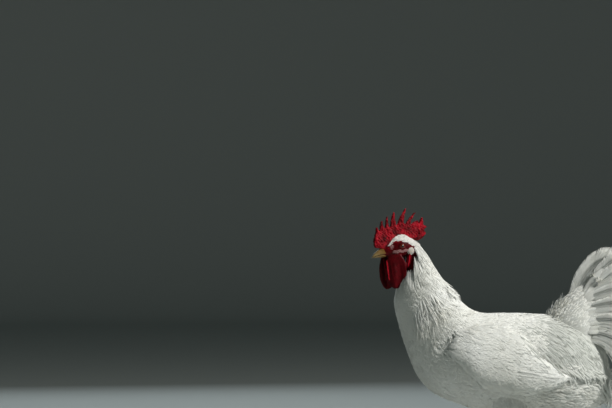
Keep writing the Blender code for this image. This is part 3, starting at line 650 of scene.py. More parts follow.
def eye_rings(side):
    """Ball round the eye's axis, with its front raised over the iris by a raised cosine."""
    tilt = np.linspace(0.02, math.pi - 0.02, 48)[:, None]
    angle = circle(40)
    from_axis = EYE_RADIUS * np.sin(tilt)
    rise = CORNEA_BULGE * (1 + np.cos(np.clip(from_axis / IRIS_RADIUS, 0, 1) * math.pi)) / 2
    rise = np.where(tilt < math.pi / 2, rise, 0)
    along = EYE_RADIUS * np.cos(tilt) + rise
    return joined(from_axis * np.cos(angle), side * (EYE_DEPTH + along), from_axis * np.sin(angle))


def eye_material(side, word):
    """Pupil, iris and dark rim by the distance from the eye's axis, under a wet coat."""
    material, tree, shader = new_material(
        "eye_" + word, Roughness=0.25, Specular_IOR_Level=0.3, Coat_Weight=0.35,
        Coat_Roughness=0.02)
    centre = from_head(np.array((0.0, side * EYE_DEPTH, 0.0))) * MM
    turned = add_node(tree, "Mapping", vector_type="TEXTURE", Location=centre,
                      Rotation=(0, HEAD_NOD, math.pi + HEAD_TURN))
    own_place(tree, turned.inputs["Vector"])
    flat = add_node(tree, "VectorMath", operation="MULTIPLY")
    flat.inputs[1].default_value = (1 / (IRIS_RADIUS * MM), 0, 1 / (IRIS_RADIUS * MM))
    tree.links.new(turned.outputs["Vector"], flat.inputs[0])
    length = add_node(tree, "VectorMath", operation="LENGTH")
    tree.links.new(flat.outputs["Vector"], length.inputs[0])
    # The iris is a dark, dull orange-red: painted shade over its own brighter colour.
    ring = blend_colours(tree, length.outputs["Value"], (
        (0.0, (0.003, 0.002, 0.002)), (0.40, (0.003, 0.002, 0.002)), (0.45, (0.10, 0.014, 0.004)),
        (0.70, (0.15, 0.024, 0.006)), (0.86, (0.08, 0.010, 0.003)), (0.95, (0.012, 0.004, 0.003)),
    ))
    tree.links.new(ring, shader.inputs["Base Color"])
    return material


# In the head's own frame, left is +y.
for side, word in ((1, "left"), (-1, "right")):
    eye = closed_rings("eyeball_" + word, [from_head(eye_rings(side))])
    eye.data.materials.append(eye_material(side, word))
    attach(eye, "root")
    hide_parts("eye_" + word)

# ---------------------------------------------------------------- beak
# Upper and lower bill of horn over bone, yellow-brown with a paler tip and cutting edge. A
# nostril lies in each side of the upper one near its root.

UPPER_BEAK_STATIONS = (
    (28, 4.2, -6.2, -7.4, 8.7), (33, 2.7, -6.2, -7.3, 7.7), (38, 1.0, -6.2, -7.2, 6.3),
    (43, -1.5, -6.5, -7.4, 4.7), (47, -4.2, -7.2, -8.1, 3.2), (50, -7.2, -8.6, -9.4, 1.7),
    (51.4, -9.4, -9.9, -10.3, 0.6),
)
LOWER_BEAK_STATIONS = (
    (26, -7.7, -8.6, -12.8, 7.6), (32, -7.6, -8.5, -12.5, 6.7), (38, -7.5, -8.4, -11.8, 5.2),
    (43, -7.7, -8.5, -11.0, 3.7), (46.5, -8.4, -9.0, -10.4, 2.1), (48, -9.0, -9.4, -9.9, 0.7),
)
NOSTRIL = (34.5, -1.2)  # x and z
NOSTRIL_SIZE = (2.4, 1.0)
NOSTRIL_DEPTH = 1.1


def horn_material(name, root, tip, start, end, roughness):
    """Horn whose colour runs from its root at the start to its tip at the end, both points.

    The share of the way is the dot product with the span from start to end, divided by the
    span's square. Clouds blur it a little, fine growth lines roughen it, and it shines slightly.
    """
    material, tree, shader = new_material(
        name, Roughness=roughness, Specular_IOR_Level=0.3, Coat_Weight=0.08, Coat_Roughness=0.3)
    span = np.array(end) - np.array(start)
    away = add_node(tree, "VectorMath", operation="DOT_PRODUCT")
    away.inputs[1].default_value = span / (span @ span) / MM
    own_place(tree, away.inputs[0])
    share = add_node(tree, "Math", operation="SUBTRACT")
    share.inputs[1].default_value = float(np.array(start) @ span / (span @ span))
    tree.links.new(away.outputs["Value"], share.inputs[0])
    clouds = pattern(tree, "TexNoise", 260, Detail=4)
    mixed = add_node(tree, "Math", operation="MULTIPLY_ADD")
    mixed.inputs[1].default_value = 0.35
    tree.links.new(clouds, mixed.inputs[0])
    tree.links.new(share.outputs["Value"], mixed.inputs[2])
    colour = blend_colours(tree, mixed.outputs["Value"], ((0.25, root), (0.95, tip)))
    tree.links.new(colour, shader.inputs["Base Color"])
    lines = pattern(tree, "TexNoise", 900, Detail=2)
    add_bump(tree, shader, lines, 0.4, 0.00015)
    return material


beak_horn = horn_material(
    "beak_horn", (0.17, 0.075, 0.015), (0.30, 0.21, 0.09), from_head(np.array((27.0, 0, -4))),
    from_head(np.array((51.0, 0, -9))), roughness=0.38)
for name, stations, powers in (
    ("upper_beak", UPPER_BEAK_STATIONS, (2.0, 3.6)),
    ("lower_beak", LOWER_BEAK_STATIONS, (3.6, 2.2)),
):
    horn = head_oval(stations, down(len(stations) - 1, 48), circle(48), *powers)
    if name == "upper_beak":
        hollow = np.exp(-((horn[:, :, 0] - NOSTRIL[0]) / NOSTRIL_SIZE[0]) ** 2
                        - ((horn[:, :, 2] - NOSTRIL[1]) / NOSTRIL_SIZE[1]) ** 2)
        horn[:, :, 1] -= np.sign(horn[:, :, 1]) * NOSTRIL_DEPTH * hollow
    beak = closed_rings(name + "_horn", [from_head(horn)])
    beak.data.materials.append(beak_horn)
    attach(beak, "root")
    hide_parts(name)

# ---------------------------------------------------------------- scutes, claws and spurs
# Horny plates overlap down the front of each shank and over each toe. Each toe ends in a claw,
# and a spur of horn grows inward and back from each shank.

CLAW_LENGTH = 15
CLAW_SIZE = (0.6, 0.62)  # width and height at its root, of the toe's
CLAW_ROOT = 1.5  # how deep a claw sits in its toe
SPUR_HEIGHT = 36
SPUR_LENGTH = 19
SPUR_RADIUS = 4.7
SCUTE_SHAPE = (6, 9)  # points along and across a plate
SCUTE_ROOT = -0.5  # how proud of the flesh a plate's underside is
SHANK_SCUTES = 19
TOE_SCUTES = 15


def scute_plates(surface, centres, middle, half_length, half_angle, thickness):
    """Curved plates on a surface of (place, angle, proud), as one closed stack of rings each.

    Across the plate runs an angle, along it a place. It stands off the surface by its
    thickness times a rounded profile, and more at its lower rim than at its upper one.
    """
    along = np.linspace(-1, 1, SCUTE_SHAPE[0])[:, None]
    across = np.linspace(-1, 1, SCUTE_SHAPE[1])
    corner = (1 - np.abs(along) ** 4) * (1 - np.abs(across) ** 4)
    place = centres[:, None, None] + half_length * along * (1 - 0.25 * across**2)
    angle = middle + half_angle * across
    height = thickness * (0.25 + 0.75 * corner) * (1 + 0.5 * along)
    outer = surface(place, angle, height)
    inner = surface(place, angle, SCUTE_ROOT)
    return [np.concatenate([top, under[:, ::-1]], axis=1) for top, under in zip(outer, inner)]


def claw_rings(side, turn, length, half_width):
    """Claw on the end of a toe: it rises a little, then curves down to a blunt point."""
    share = down(1, 22)
    angle = circle(20)
    half_height = half_width * TOE_FLATNESS * CLAW_SIZE[1]
    middle = half_height * (TOE_SEAT + 0.5 * np.sin(share * math.pi) - 0.55 * share**2)
    size = np.sqrt(np.maximum(1 - share**2.6, 0)) * 0.97 + 0.03
    reach = CLAW_LENGTH * length / TOES[0][2]
    along = length - CLAW_ROOT + (reach + CLAW_ROOT) * share
    across = np.cos(angle) * half_width * CLAW_SIZE[0] * size
    height = np.maximum(middle + np.sin(angle) * half_height * size, 0)
    return from_foot(side, turn, along, across, height)


def spur_rings(side):
    """Spur: ovals that shrink as they go inward and back from the shank."""
    share = down(1, 22)
    angle = circle(24)
    size = SPUR_RADIUS * np.sqrt(np.maximum(1 - share**1.5, 0)) * (1 - 0.55 * share) + 0.08
    shift = STRIDE * side
    start = 9 - shift * SPUR_HEIGHT / HIP_HEIGHT
    x = FOOT_X + shift + start + 0.7 * SPUR_LENGTH * share + np.cos(angle) * size
    y = side * FOOT_Y - side * (1 + 0.8 * SPUR_LENGTH * share)
    return joined(x, y, SPUR_HEIGHT + 3 * share**2 + np.sin(angle) * size)


scale_horn = flesh_material("scute_horn", LEG_SKIN, 160, 0.36, 1200, 0.0001, 0.0)
for side, word in SIDES:
    plates = []
    falls = np.linspace(1.9, 6.6, SHANK_SCUTES)
    for row in (-0.42, 0.42):
        plates += scute_plates(
            lambda fall, angle, proud: leg_surface(SHANK_STATIONS, side, fall, angle, -proud),
            falls, math.pi + row, half_length=0.155, half_angle=0.46, thickness=0.55)
    for _, *shape in TOES:
        shares = np.linspace(0.12, 0.94, TOE_SCUTES)
        plates += scute_plates(
            lambda *spot: toe_places(side, *shape, *spot), shares, math.pi / 2,
            half_length=0.036, half_angle=0.95, thickness=0.45)
    scutes = closed_rings("scutes_" + word, plates)
    scutes.data.materials.append(scale_horn)
    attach(scutes, "root")
    for toe, turn, length, half_width, _ in TOES:
        claw = closed_rings(f"claw_horn_{toe}_{word}", [claw_rings(side, turn, length, half_width)])
        claw.data.materials.append(horn_material(
            f"claw_horn_{toe}_{word}", (0.62, 0.46, 0.24), (0.36, 0.29, 0.22),
            from_foot(side, turn, length, 0, 0), from_foot(side, turn, length + 14, 0, 0),
            roughness=0.35))
        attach(claw, "root")
        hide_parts(f"claw_{toe}_{word}")
    spur = closed_rings("spur_horn_" + word, [spur_rings(side)])
    low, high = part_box("spur_" + word)
    start = np.array((low.x, high.y if side > 0 else low.y, low.z)) / MM
    end = np.array((high.x, low.y if side > 0 else high.y, high.z)) / MM
    spur.data.materials.append(horn_material(
        "spur_horn_" + word, (0.66, 0.50, 0.24), (0.42, 0.33, 0.24), start, end,
        roughness=0.35))
    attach(spur, "root")
    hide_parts("spur_" + word)

# ---------------------------------------------------------------- belly and rear fluff
# Loose white feathers under the belly and round the vent. They overhang the rump and are the
# softest of the coat. A feather here is a thin closed vane laid along the body.

PATCH = 0.003  # of a feather's root on the unwrap of the skin


def slopes(surface, place, angle):
    """How the surface runs with place and with angle, and its outward normal, by differences."""
    step = 0.01
    ahead = (surface(place + step, angle) - surface(place - step, angle)) / (2 * step)
    across = (surface(place, angle + step) - surface(place, angle - step)) / (2 * step)
    return ahead, across, unit(np.cross(across, ahead))


EVEN_STEPS = (0.7548776662, 0.5698402910)  # of the plastic number: they fill a square evenly
GOLDEN_STEP = 0.618034  # of the golden section: it fills a line evenly
ROOT_JITTER = 0.35  # of the mean distance between roots
LEAST_STEPS = (2.0, 4.0)  # millimetres that a unit of place and of angle stand for, at least


def evenly(count):
    """So many numbers from 0 to 1, each a golden step past the last one."""
    return np.arange(count) * GOLDEN_STEP % 1


def spread(surface, count, first, last, low, high, seed):
    """Roots spread evenly over a stretch of a surface: their places and their angles.

    A two-number sequence with a little jitter fills the unit square evenly. Its first number
    becomes a place through the running sum of the area, and its second an angle.
    """
    grid = np.linspace(first, last, 160)
    turn = np.linspace(low, high, 24)
    ahead, across, _ = slopes(surface, *np.meshgrid(grid, turn, indexing="ij"))
    area = np.linalg.norm(np.cross(across, ahead), axis=-1).mean(axis=1)
    total = np.cumsum(area)
    total = (total - total[0]) / (total[-1] - total[0])
    rng = np.random.default_rng(seed)
    jitter = ROOT_JITTER / math.sqrt(count)
    one, two = ((0.5 + np.arange(count) * step + rng.normal(0, jitter, count)) % 1
                for step in EVEN_STEPS)
    return np.interp(one, total, grid), low + (high - low) * two


def lay(surface, place, angle, length, turn, stations, flip, edge, droop):
    """Centre lines of feathers laid along a surface, and the normals under them.

    From its root a feather runs toward smaller places, turned by its turn toward larger angles.
    Past the edge it leaves the surface, and sinks by the droop with each step. Flip is -1 where
    the surface's own normal points inward.
    """
    step = length / (stations - 1)
    ahead, across, normal = slopes(surface, place, angle)
    normal = normal * flip
    point = surface(place, angle)
    heading = unit(unit(across) * np.sin(turn)[:, None] - unit(ahead) * np.cos(turn)[:, None])
    laid = np.ones(len(place), bool)
    points, normals = [point], [normal]
    for _ in range(stations - 1):
        along = np.maximum(np.linalg.norm(ahead, axis=-1), LEAST_STEPS[0])
        aside = np.maximum(np.linalg.norm(across, axis=-1), LEAST_STEPS[1])
        next_place = place - np.cos(turn) * step / along
        next_angle = angle + np.sin(turn) * step / aside
        laid = laid & (next_place > edge)
        place = np.where(laid, next_place, place)
        angle = np.where(laid, next_angle, angle)
        free = unit(heading + np.array((0, 0, -1.0)) * droop)
        target = np.where(laid[:, None], surface(place, angle), point + free * step[:, None])
        heading = unit(target - point)
        point = target
        ahead, across, fresh = slopes(surface, place, angle)
        normal = np.where(laid[:, None], fresh * flip, square_to(heading, normal))
        points.append(point)
        normals.append(normal)
    return np.stack(points, axis=1), np.stack(normals, axis=1)


def square_to(ahead, normal):
    """The normals at length 1, less what they have along the unit vectors ahead."""
    return unit(normal - ahead * (normal * ahead).sum(-1)[..., None])


def vane_arrays(path, normal, width, thickness, camber, roll, patch):
    """Points, quads, end triangles and maps of thin closed vanes along their centre lines.

    A section has three points: its left edge, its ridge and its right edge. The ridge stands
    over the edges by the thickness and by the camber times half the width. Roll turns a section
    about the vane. The map puts each vane in a small patch at its root's place on the skin's
    unwrap.
    """
    count, stations = path.shape[:2]
    ahead = unit(np.gradient(path, axis=1))
    normal = square_to(ahead, normal)
    across = np.cross(ahead, normal)
    cosine, sine = np.cos(roll)[..., None], np.sin(roll)[..., None]
    across, normal = across * cosine + normal * sine, normal * cosine - across * sine
    half = (width / 2)[..., None]
    ridge = path + normal * (half * camber + thickness)
    points = np.stack([path - across * half, ridge, path + across * half], axis=2)
    station, corner = np.meshgrid(np.arange(stations - 1), np.arange(3), indexing="ij")
    ahead_corner = (corner + 1) % 3
    low, high = station * 3, station * 3 + 3
    walls = joined(low + corner, low + ahead_corner, high + ahead_corner, high + corner)
    last = (stations - 1) * 3
    ends = np.array([[0, 2, 1], [last, last + 1, last + 2]])
    start = (np.arange(count) * stations * 3)[:, None, None]
    spot = joined(
        (-0.5, 0.0, 0.5), np.linspace(-0.45, 0.4, stations)[:, None] + np.array((0, 0.08, 0)))
    maps = patch[:, None, None, :] + spot * PATCH
    vane = np.broadcast_to(joined((0, 0.5, 1), down(1, stations)), maps.shape)
    return (points.reshape(-1, 3), (walls.reshape(-1, 4)[None] + start).reshape(-1, 4),
            (ends[None] + start).reshape(-1, 3), maps.reshape(-1, 2), vane.reshape(-1, 2))


def coat_piece(name, groups, material, *nodes):
    """Piece of plumage from groups of vanes. It stands for those solids.

    A vane is smooth over its ridge and sharp along its two rims.
    """
    start, quads, ends = 0, [], []
    for group in groups:
        quads.append(group[1] + start)
        ends.append(group[2] + start)
        start += len(group[0])
    quads, ends = np.concatenate(quads), np.concatenate(ends)
    corners = np.concatenate([quads.ravel(), ends.ravel()]).astype(np.int32)
    starts = np.concatenate([np.arange(len(quads)) * 4, quads.size + np.arange(len(ends)) * 3])
    points = np.concatenate([group[0] for group in groups])
    mesh = bpy.data.meshes.new(name)
    mesh.vertices.add(len(points))
    mesh.vertices.foreach_set("co", (points * MM).astype(np.float32).ravel())
    mesh.loops.add(len(corners))
    mesh.loops.foreach_set("vertex_index", corners)
    mesh.polygons.add(len(starts))
    mesh.polygons.foreach_set("loop_start", starts.astype(np.int32))
    mesh.update(calc_edges=True)
    for layer, column in (("OFBake", 3), ("vane", 4)):
        values = np.concatenate([group[column] for group in groups])
        mesh.uv_layers.new(name=layer).data.foreach_set(
            "uv", values[corners].astype(np.float32).ravel())
    mesh.shade_smooth()
    pairs = np.empty(len(mesh.edges) * 2, np.int32)
    mesh.edges.foreach_get("vertices", pairs)
    corner = pairs.reshape(-1, 2) % 3
    rim = (corner[:, 0] == corner[:, 1]) & (corner[:, 0] != 1)
    mesh.edges.foreach_set("use_edge_sharp", rim)
    mesh.materials.append(material)
    piece = add_object(name, mesh)
    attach(piece, "root")
    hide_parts(*nodes)


def feather_material(name, stops, roughness, glow):
    """White keratin: two whites in slow clouds, fine barbs as bump, a little light through it."""
    material, tree, shader = new_material(
        name, Roughness=roughness, Specular_IOR_Level=0.3, Subsurface_Weight=glow,
        Subsurface_Scale=0.004, Subsurface_Radius=(1, 0.9, 0.75), Sheen_Weight=0.15)
    cloud = pattern(tree, "TexNoise", 14, Detail=3)
    tree.links.new(blend_colours(tree, cloud, stops), shader.inputs["Base Color"])
    own = add_node(tree, "UVMap", uv_map="vane")
    barbs = add_node(
        tree, "TexWave", Scale=14, Distortion=1.5, bands_direction="DIAGONAL")
    tree.links.new(own.outputs["UV"], barbs.inputs["Vector"])
    add_bump(tree, shader, barbs.outputs["Fac"], 0.25, 0.0002)
    return material


def body_patch(place, angle):
    """Place of a root on the unwrap of the skin: along the body one way, round it the other."""
    wrapped = (angle / FULL_TURN) % 1
    return joined(0.02 + 0.96 * (place + 1) / (NECK_TOP + 2), 0.02 + 0.96 * wrapped)


def patch_round(step):
    """Function for the unwrap place of a root: that step for a station one way, round the other."""
    return lambda place, angle: joined(0.05 + step * place, 0.05 + 0.9 * angle / FULL_TURN)


def leaf(share, blunt, full):
    """Width of a feather along itself, of its greatest width: it swells from the quill and
    closes to the tip, the blunter the larger the first number."""
    return np.clip(share, 0.001, 1) ** full * np.clip(1 - share**blunt, 0.0001, 1) ** 0.5


WHITE_DOWN = ((0.3, (0.80, 0.79, 0.74)), (0.7, (0.90, 0.89, 0.86)))
WHITE_FEATHER = ((0.3, (0.86, 0.85, 0.80)), (0.7, (0.92, 0.915, 0.89)))
down_white = feather_material("down_white", WHITE_DOWN, roughness=0.8, glow=0.15)
feather_white = feather_material("feather_white", WHITE_FEATHER, roughness=0.62, glow=0.15)


def tract(name, surface, place, angle, length, width, turn, patch, material, seed, blunt, full,
          lift, rise, ruffle, camber, stations=6, nodes=(), flip=1, edge=-0.7, droop=0.0,
          over=None, thickness=0.25, clump=16.0):
    """Piece of many feathers on a surface.

    A feather's root lies the lift below the surface, its tip the rise above it. Blunt and full
    shape its outline, and camber arches it across. Ruffle is how much its rise, direction and
    roll vary: neighbours within a clump's size vary alike, and each one a little by itself.
    Over gives the height of what the coat lies over.
    """
    rng = np.random.default_rng(seed)
    count = len(place)
    root = surface(place, angle)
    gather = swell(root, clump, seed + 1)
    turn = turn + 0.30 * ruffle * gather + rng.normal(0, 0.02 + 0.12 * ruffle, count)
    length = length * rng.uniform(0.82, 1.15, count)
    path, normal = lay(surface, place, angle, length, turn, stations, flip, edge, droop)
    share = np.linspace(0, 1, stations)
    swollen = swell(root, clump * 1.3, seed + 2)
    tip = (rise * (1 + ruffle * (0.8 * swollen + 0.5 * rng.normal(0, 1, count))))[:, None]
    height = -lift * (1 - share) ** 1.6 + tip * share**1.3
    if over is not None:
        height = height + over(path[..., 0], path[..., 2])
    aside = np.cross(unit(np.gradient(path, axis=1)), normal)
    bend = 0.16 * ruffle * swell(root, clump, seed + 3) + rng.normal(0, 0.03 * ruffle, count)
    bend = (bend * length)[:, None, None]
    path = path + normal * height[..., None] + aside * bend * share[:, None] ** 2
    width = (width + np.zeros(count))[:, None]
    widths = np.maximum(width * leaf(share, blunt, full), 0.25)
    roll = (0.25 * ruffle * gather + rng.normal(0, 0.03 + 0.16 * ruffle, count))[:, None] * share
    arrays = vane_arrays(path, normal, widths, thickness, camber, roll, patch(place, angle))
    coat_piece(name, [arrays], material, *nodes)


def below(angle, start):
    """How far the angle is past the start, toward the belly, from 0 to 1."""
    return np.clip((np.abs(angle) - start) / (math.pi - start), 0, 1)


# None lie on the back, which the saddle covers, but they reach all round the rump.
place, angle = spread(body_surface, 6400, -0.9, 4.6, -math.pi, math.pi, seed=11)
keep = (np.abs(angle) > 1.5) | (place < 0.2)
place, angle = place[keep], angle[keep]
rear = np.clip((1.5 - place) / 2, 0, 1)
outward = (0.25 + 0.45 * rear) * np.clip(angle / 0.8, -1, 1) * (1 - below(angle, 1.5))
tract("belly_fluff", body_surface, place, angle, 30 + 2 * rear, 6.5 + 1.5 * rear, outward,
      body_patch, down_white, 12, blunt=2.2, full=0.45, lift=5.0, rise=1.2, ruffle=0.55,
      camber=0.12, edge=-0.55, droop=0.22)

# ---------------------------------------------------------------- thighs
# Short feathers run down each thigh and drumstick, smaller toward the hock, where the scales
# begin.

for side, word in SIDES:
    last = len(THIGH_STATIONS) - 1

    def thigh_surface(place, angle, side=side, last=last):
        """Point of the thigh, place 0 at the hock."""
        return leg_surface(THIGH_STATIONS, side, last - place, angle)

    place, angle = spread(thigh_surface, 1500, 0.05, last, 0, FULL_TURN, seed=21 + side)
    tract("thigh_feathers_" + word, thigh_surface, place, angle, 9 + 4.4 * place,
          3.4 + 1.3 * place, 0, patch_round(0.17), down_white, 31 + side, blunt=2.4, full=0.45,
          lift=2.5, rise=0.9, ruffle=0.5, camber=0.15, stations=5, edge=-0.3, droop=0.3)

# ---------------------------------------------------------------- breast and flanks
# Rounded white feathers overlap like tiles from the throat's foot down the breast and back
# along the flanks.

# The folded wing's lower and upper edges, seen from the side, shoulder first.
WING_LOWER = (
    (-157, 271), (-126, 245), (-95, 216), (-57, 204), (-22, 201), (-2, 207), (22, 213), (42, 226),
)
WING_UPPER = (
    (-157, 279), (-137, 300), (-102, 307), (-62, 304), (-32, 291), (-9, 269), (19, 247), (42, 232),
)
WING_LAST = len(WING_LOWER) - 1
WING_RIM = 6.5
WING_BULGE = 12.0
WING_SAG = 0.5  # power that moves the widest place of the wing toward its lower edge


def wing_share(x, z):
    """How far up the folded wing a place in the side view is, from 0 to 1 at its upper edge."""
    low = np.interp(x, *zip(*WING_LOWER))
    high = np.interp(x, *zip(*WING_UPPER))
    return (z - low) / np.maximum(high - low, 5)


def wing_height(x, z):
    """How far the folded wing stands off the flank at a place in the side view.

    Its rim is thin, and it bulges most under its middle. The height fades to nothing a little
    outside.
    """
    share = wing_share(x, z)
    along = (x - WING_LOWER[0][0]) / (WING_LOWER[-1][0] - WING_LOWER[0][0])
    inside = np.clip(np.minimum(share, 1 - share) * 14 + 1, 0, 1)
    inside = inside * np.clip(np.minimum(along, 1 - along) * 14 + 1, 0, 1)
    dome = np.sin(np.clip(share, 0, 1) ** WING_SAG * math.pi).clip(0) ** 0.7
    dome = dome * np.sin((0.12 + 0.74 * np.clip(along, 0, 1)) * math.pi) ** 0.7
    return inside * WING_RIM * np.clip(0.15 + along * 4, 0, 1) + WING_BULGE * dome


# None lie on the back or under the middle of a wing, and on the neck only its front has them.
place, angle = spread(body_surface, 9400, 3.0, 10.6, -math.pi, math.pi, seed=41)
x, _, z = body_surface(place, angle).T
covered = wing_share(x, z)
under_wing = (covered > 0.12) & (covered < 0.9) & (x > -145) & (x < -20)
keep = ((place < 9.9) | (np.abs(angle) > 2.0)) & (np.abs(angle) > 1.0) & ~under_wing
place, angle = place[keep], angle[keep]
low_down = np.clip((7 - place) / 4, 0, 1)
tract("breast_feathers", body_surface, place, angle, 24 + 6 * low_down, 8 + 3 * low_down, 0,
      body_patch, feather_white, 42, blunt=3.2, full=0.4, lift=4.5, rise=0.7, ruffle=0.40,
      camber=0.10)

# ---------------------------------------------------------------- back
# Feathers of the shoulders and back, longer and narrower than the breast's. They overlap the
# wings' upper edges.

place, angle = spread(body_surface, 3400, 3.0, 9.9, -1.25, 1.25, seed=51)
tract("back_feathers", body_surface, place, angle, 34, 8, 0.30 * angle, body_patch,
      feather_white, 52, blunt=2.6, full=0.4, lift=4.0, rise=0.6, ruffle=0.35, camber=0.15,
      over=wing_height)

# ---------------------------------------------------------------- wings
# One mass of white coverts lies like tiles over the folded wing, small at the shoulder and long
# behind. The quills of the secondaries and primaries under it are rooted in the wing and show at
# its rear edge and its tip.

FLANK_CELL = 2.0
FLANK_START = np.array((-260.0, 140.0))
FLANK_CELLS = (200, 170)


def flank_map():
    """Half width of the body over a grid of places in the side view, from its formula."""
    places = np.linspace(-0.98, NECK_TOP + 0.9, 1500)[:, None]
    spot = body_surface(places, np.linspace(0, math.pi, 500)).reshape(-1, 3)
    cell = np.round((spot[:, [0, 2]] - FLANK_START) / FLANK_CELL).astype(int)
    grid = np.zeros(FLANK_CELLS)
    np.maximum.at(grid, (cell[:, 0], cell[:, 1]), spot[:, 1])
    return grid


FLANKS = flank_map()


def flank(x, z):
    """Half width of the body at places in the side view, between the cells of the map."""
    column = np.clip((x - FLANK_START[0]) / FLANK_CELL, 0, FLANK_CELLS[0] - 2)
    row = np.clip((z - FLANK_START[1]) / FLANK_CELL, 0, FLANK_CELLS[1] - 2)
    i, j = column.astype(int), row.astype(int)
    s, t = column - i, row - j
    low = FLANKS[i, j] * (1 - s) + FLANKS[i + 1, j] * s
    high = FLANKS[i, j + 1] * (1 - s) + FLANKS[i + 1, j + 1] * s
    return low * (1 - t) + high * t


def wing_surface(side):
    """Surface of a folded wing: place runs from its tip to the shoulder, angle up across it."""
    def surface(place, angle):
        along = WING_LAST - place
        lower, upper = smooth(WING_LOWER, along), smooth(WING_UPPER, along)
        x, z = np.moveaxis(lower * (1 - angle[..., None]) + upper * angle[..., None], -1, 0)
        return joined(x, side * (flank(x, z) + wing_height(x, z)), z)
    return surface


def wing_patch(place, angle):
    """Place of a wing feather's root on the unwrap."""
    return joined(0.04 + 0.92 * place / WING_LAST, 0.05 + 0.9 * np.clip(angle, 0, 1))


def tapered(width, travel, foot, growth, blunt, close):
    """Width along a large feather: it grows from a share at its foot, and closes at its tip."""
    tip = np.clip(1 - travel**blunt, 0.02, 1) ** close
    return width * np.minimum(1, foot + growth * travel) * tip


def interpolated(values, share):
    """Rows along the second axis read at shares of it, between neighbours."""
    spot = share * (values.shape[1] - 1)
    first = np.minimum(spot.astype(int), values.shape[1] - 2)
    part = (spot - first)[..., None]
    rows = np.arange(len(values))[:, None]
    return values[rows, first] * (1 - part) + values[rows, first + 1] * part


BARB_STEPS = np.array((0, 0.36, 0.72, 1.0))  # places along a barb
BARB_WIDTHS = np.array((1.0, 1.0, 0.8, 0.3))  # there, of its greatest
BARB_OVERLAP = 1.25  # its greatest width, of the barbs' spacing
BARB_BEND = 0.16  # forward, of its length
BARB_SPACING = 1.35
BARE_QUILL = 0.03  # share of the quill before the first barb
SPLITS = 5  # a vane
SPLIT_REACH = 0.035  # how far along the quill a split is felt, of its length


def barbed(path, normal, width, spacing, patch, seed, split, fray, droop, quill=1.3,
           slant=(58, 24), uneven=(1.0, 1.0)):
    """Arrays of large feathers made of a quill and two rows of barbs.

    A barb leaves the quill at a slant that sharpens toward the tip, is as long as the vane is
    wide there, bends forward and sinks by the droop. Splits are places where the barbs part up
    and down. Fray makes the barbs' lengths vary. Uneven gives the breadth of the vane on
    either side of the quill.
    """
    rng = np.random.default_rng(seed)
    count, stations = path.shape[:2]
    ahead = unit(np.gradient(path, axis=1))
    normal = square_to(ahead, normal)
    across = np.cross(ahead, normal)
    size = np.linalg.norm(np.diff(path, axis=1), axis=-1).sum(1)
    number = int(size.max() / spacing)
    share = np.linspace(BARE_QUILL, 0.992, number) + np.zeros((count, 1))
    quill_width = quill * (1 - 0.88 * np.linspace(0, 1, stations)) + np.zeros((count, 1))
    groups = [vane_arrays(
        path, normal, quill_width, quill * 0.7, 0.0, np.zeros((count, stations)), patch)]
    for hand, breadth in zip((-1, 1), uneven):
        own = np.clip(share + rng.normal(0, 0.15 * spacing / size.max(), share.shape), 0, 0.995)
        root, forward = interpolated(path, own), unit(interpolated(ahead, own))
        aside, up = unit(interpolated(across, own)) * hand, unit(interpolated(normal, own))
        slope = np.radians(slant[0] + (slant[1] - slant[0]) * own**1.6)
        for _ in range(SPLITS):
            gap = (own - rng.uniform(0.15, 1.0, (count, 1))) / SPLIT_REACH
            parting = split * rng.uniform(0.1, 0.5, (count, 1))
            slope = slope - parting * np.sign(gap) * np.exp(-np.abs(gap))
        slope = np.clip(slope + rng.normal(0, 0.02 + 0.06 * fray, own.shape), 0.2, 1.3)
        full = interpolated(width[..., None], own)[..., 0] / 2 * breadth
        reach = full / np.sin(slope) * 0.97
        reach = (reach * (1 - fray * rng.uniform(0, 1, own.shape) ** 3))[..., None, None]
        steps = BARB_STEPS[:, None]
        straight = forward * np.cos(slope)[..., None] + aside * np.sin(slope)[..., None]
        sink = (droop * (1 + 0.5 * rng.normal(0, 1, (count, 1))))[..., None, None]
        barb = (root[:, :, None] + straight[:, :, None] * (reach * steps)
                + forward[:, :, None] * (reach * BARB_BEND * steps**2)
                - up[:, :, None] * (reach * sink * steps**2))
        barb = barb.reshape(-1, len(steps), 3)
        each = np.zeros((len(barb), 1))
        flat = np.repeat(up.reshape(-1, 1, 3), len(steps), axis=1)
        spots = np.repeat(patch, number, axis=0) + (own.reshape(-1, 1) - 0.5) * PATCH * 0.4
        roll = rng.normal(0, 0.1, each.shape) + np.zeros(len(steps))
        widths = BARB_WIDTHS * spacing * BARB_OVERLAP + each
        groups.append(vane_arrays(barb, flat, widths, 0.35, 0.12, roll, spots))
    return groups


WING_TRAVEL = (1.3, 4, 7)  # places along the wing for which the coverts' numbers are given
QUILL_ROOT = 3.4  # place of the roots of the flight feathers

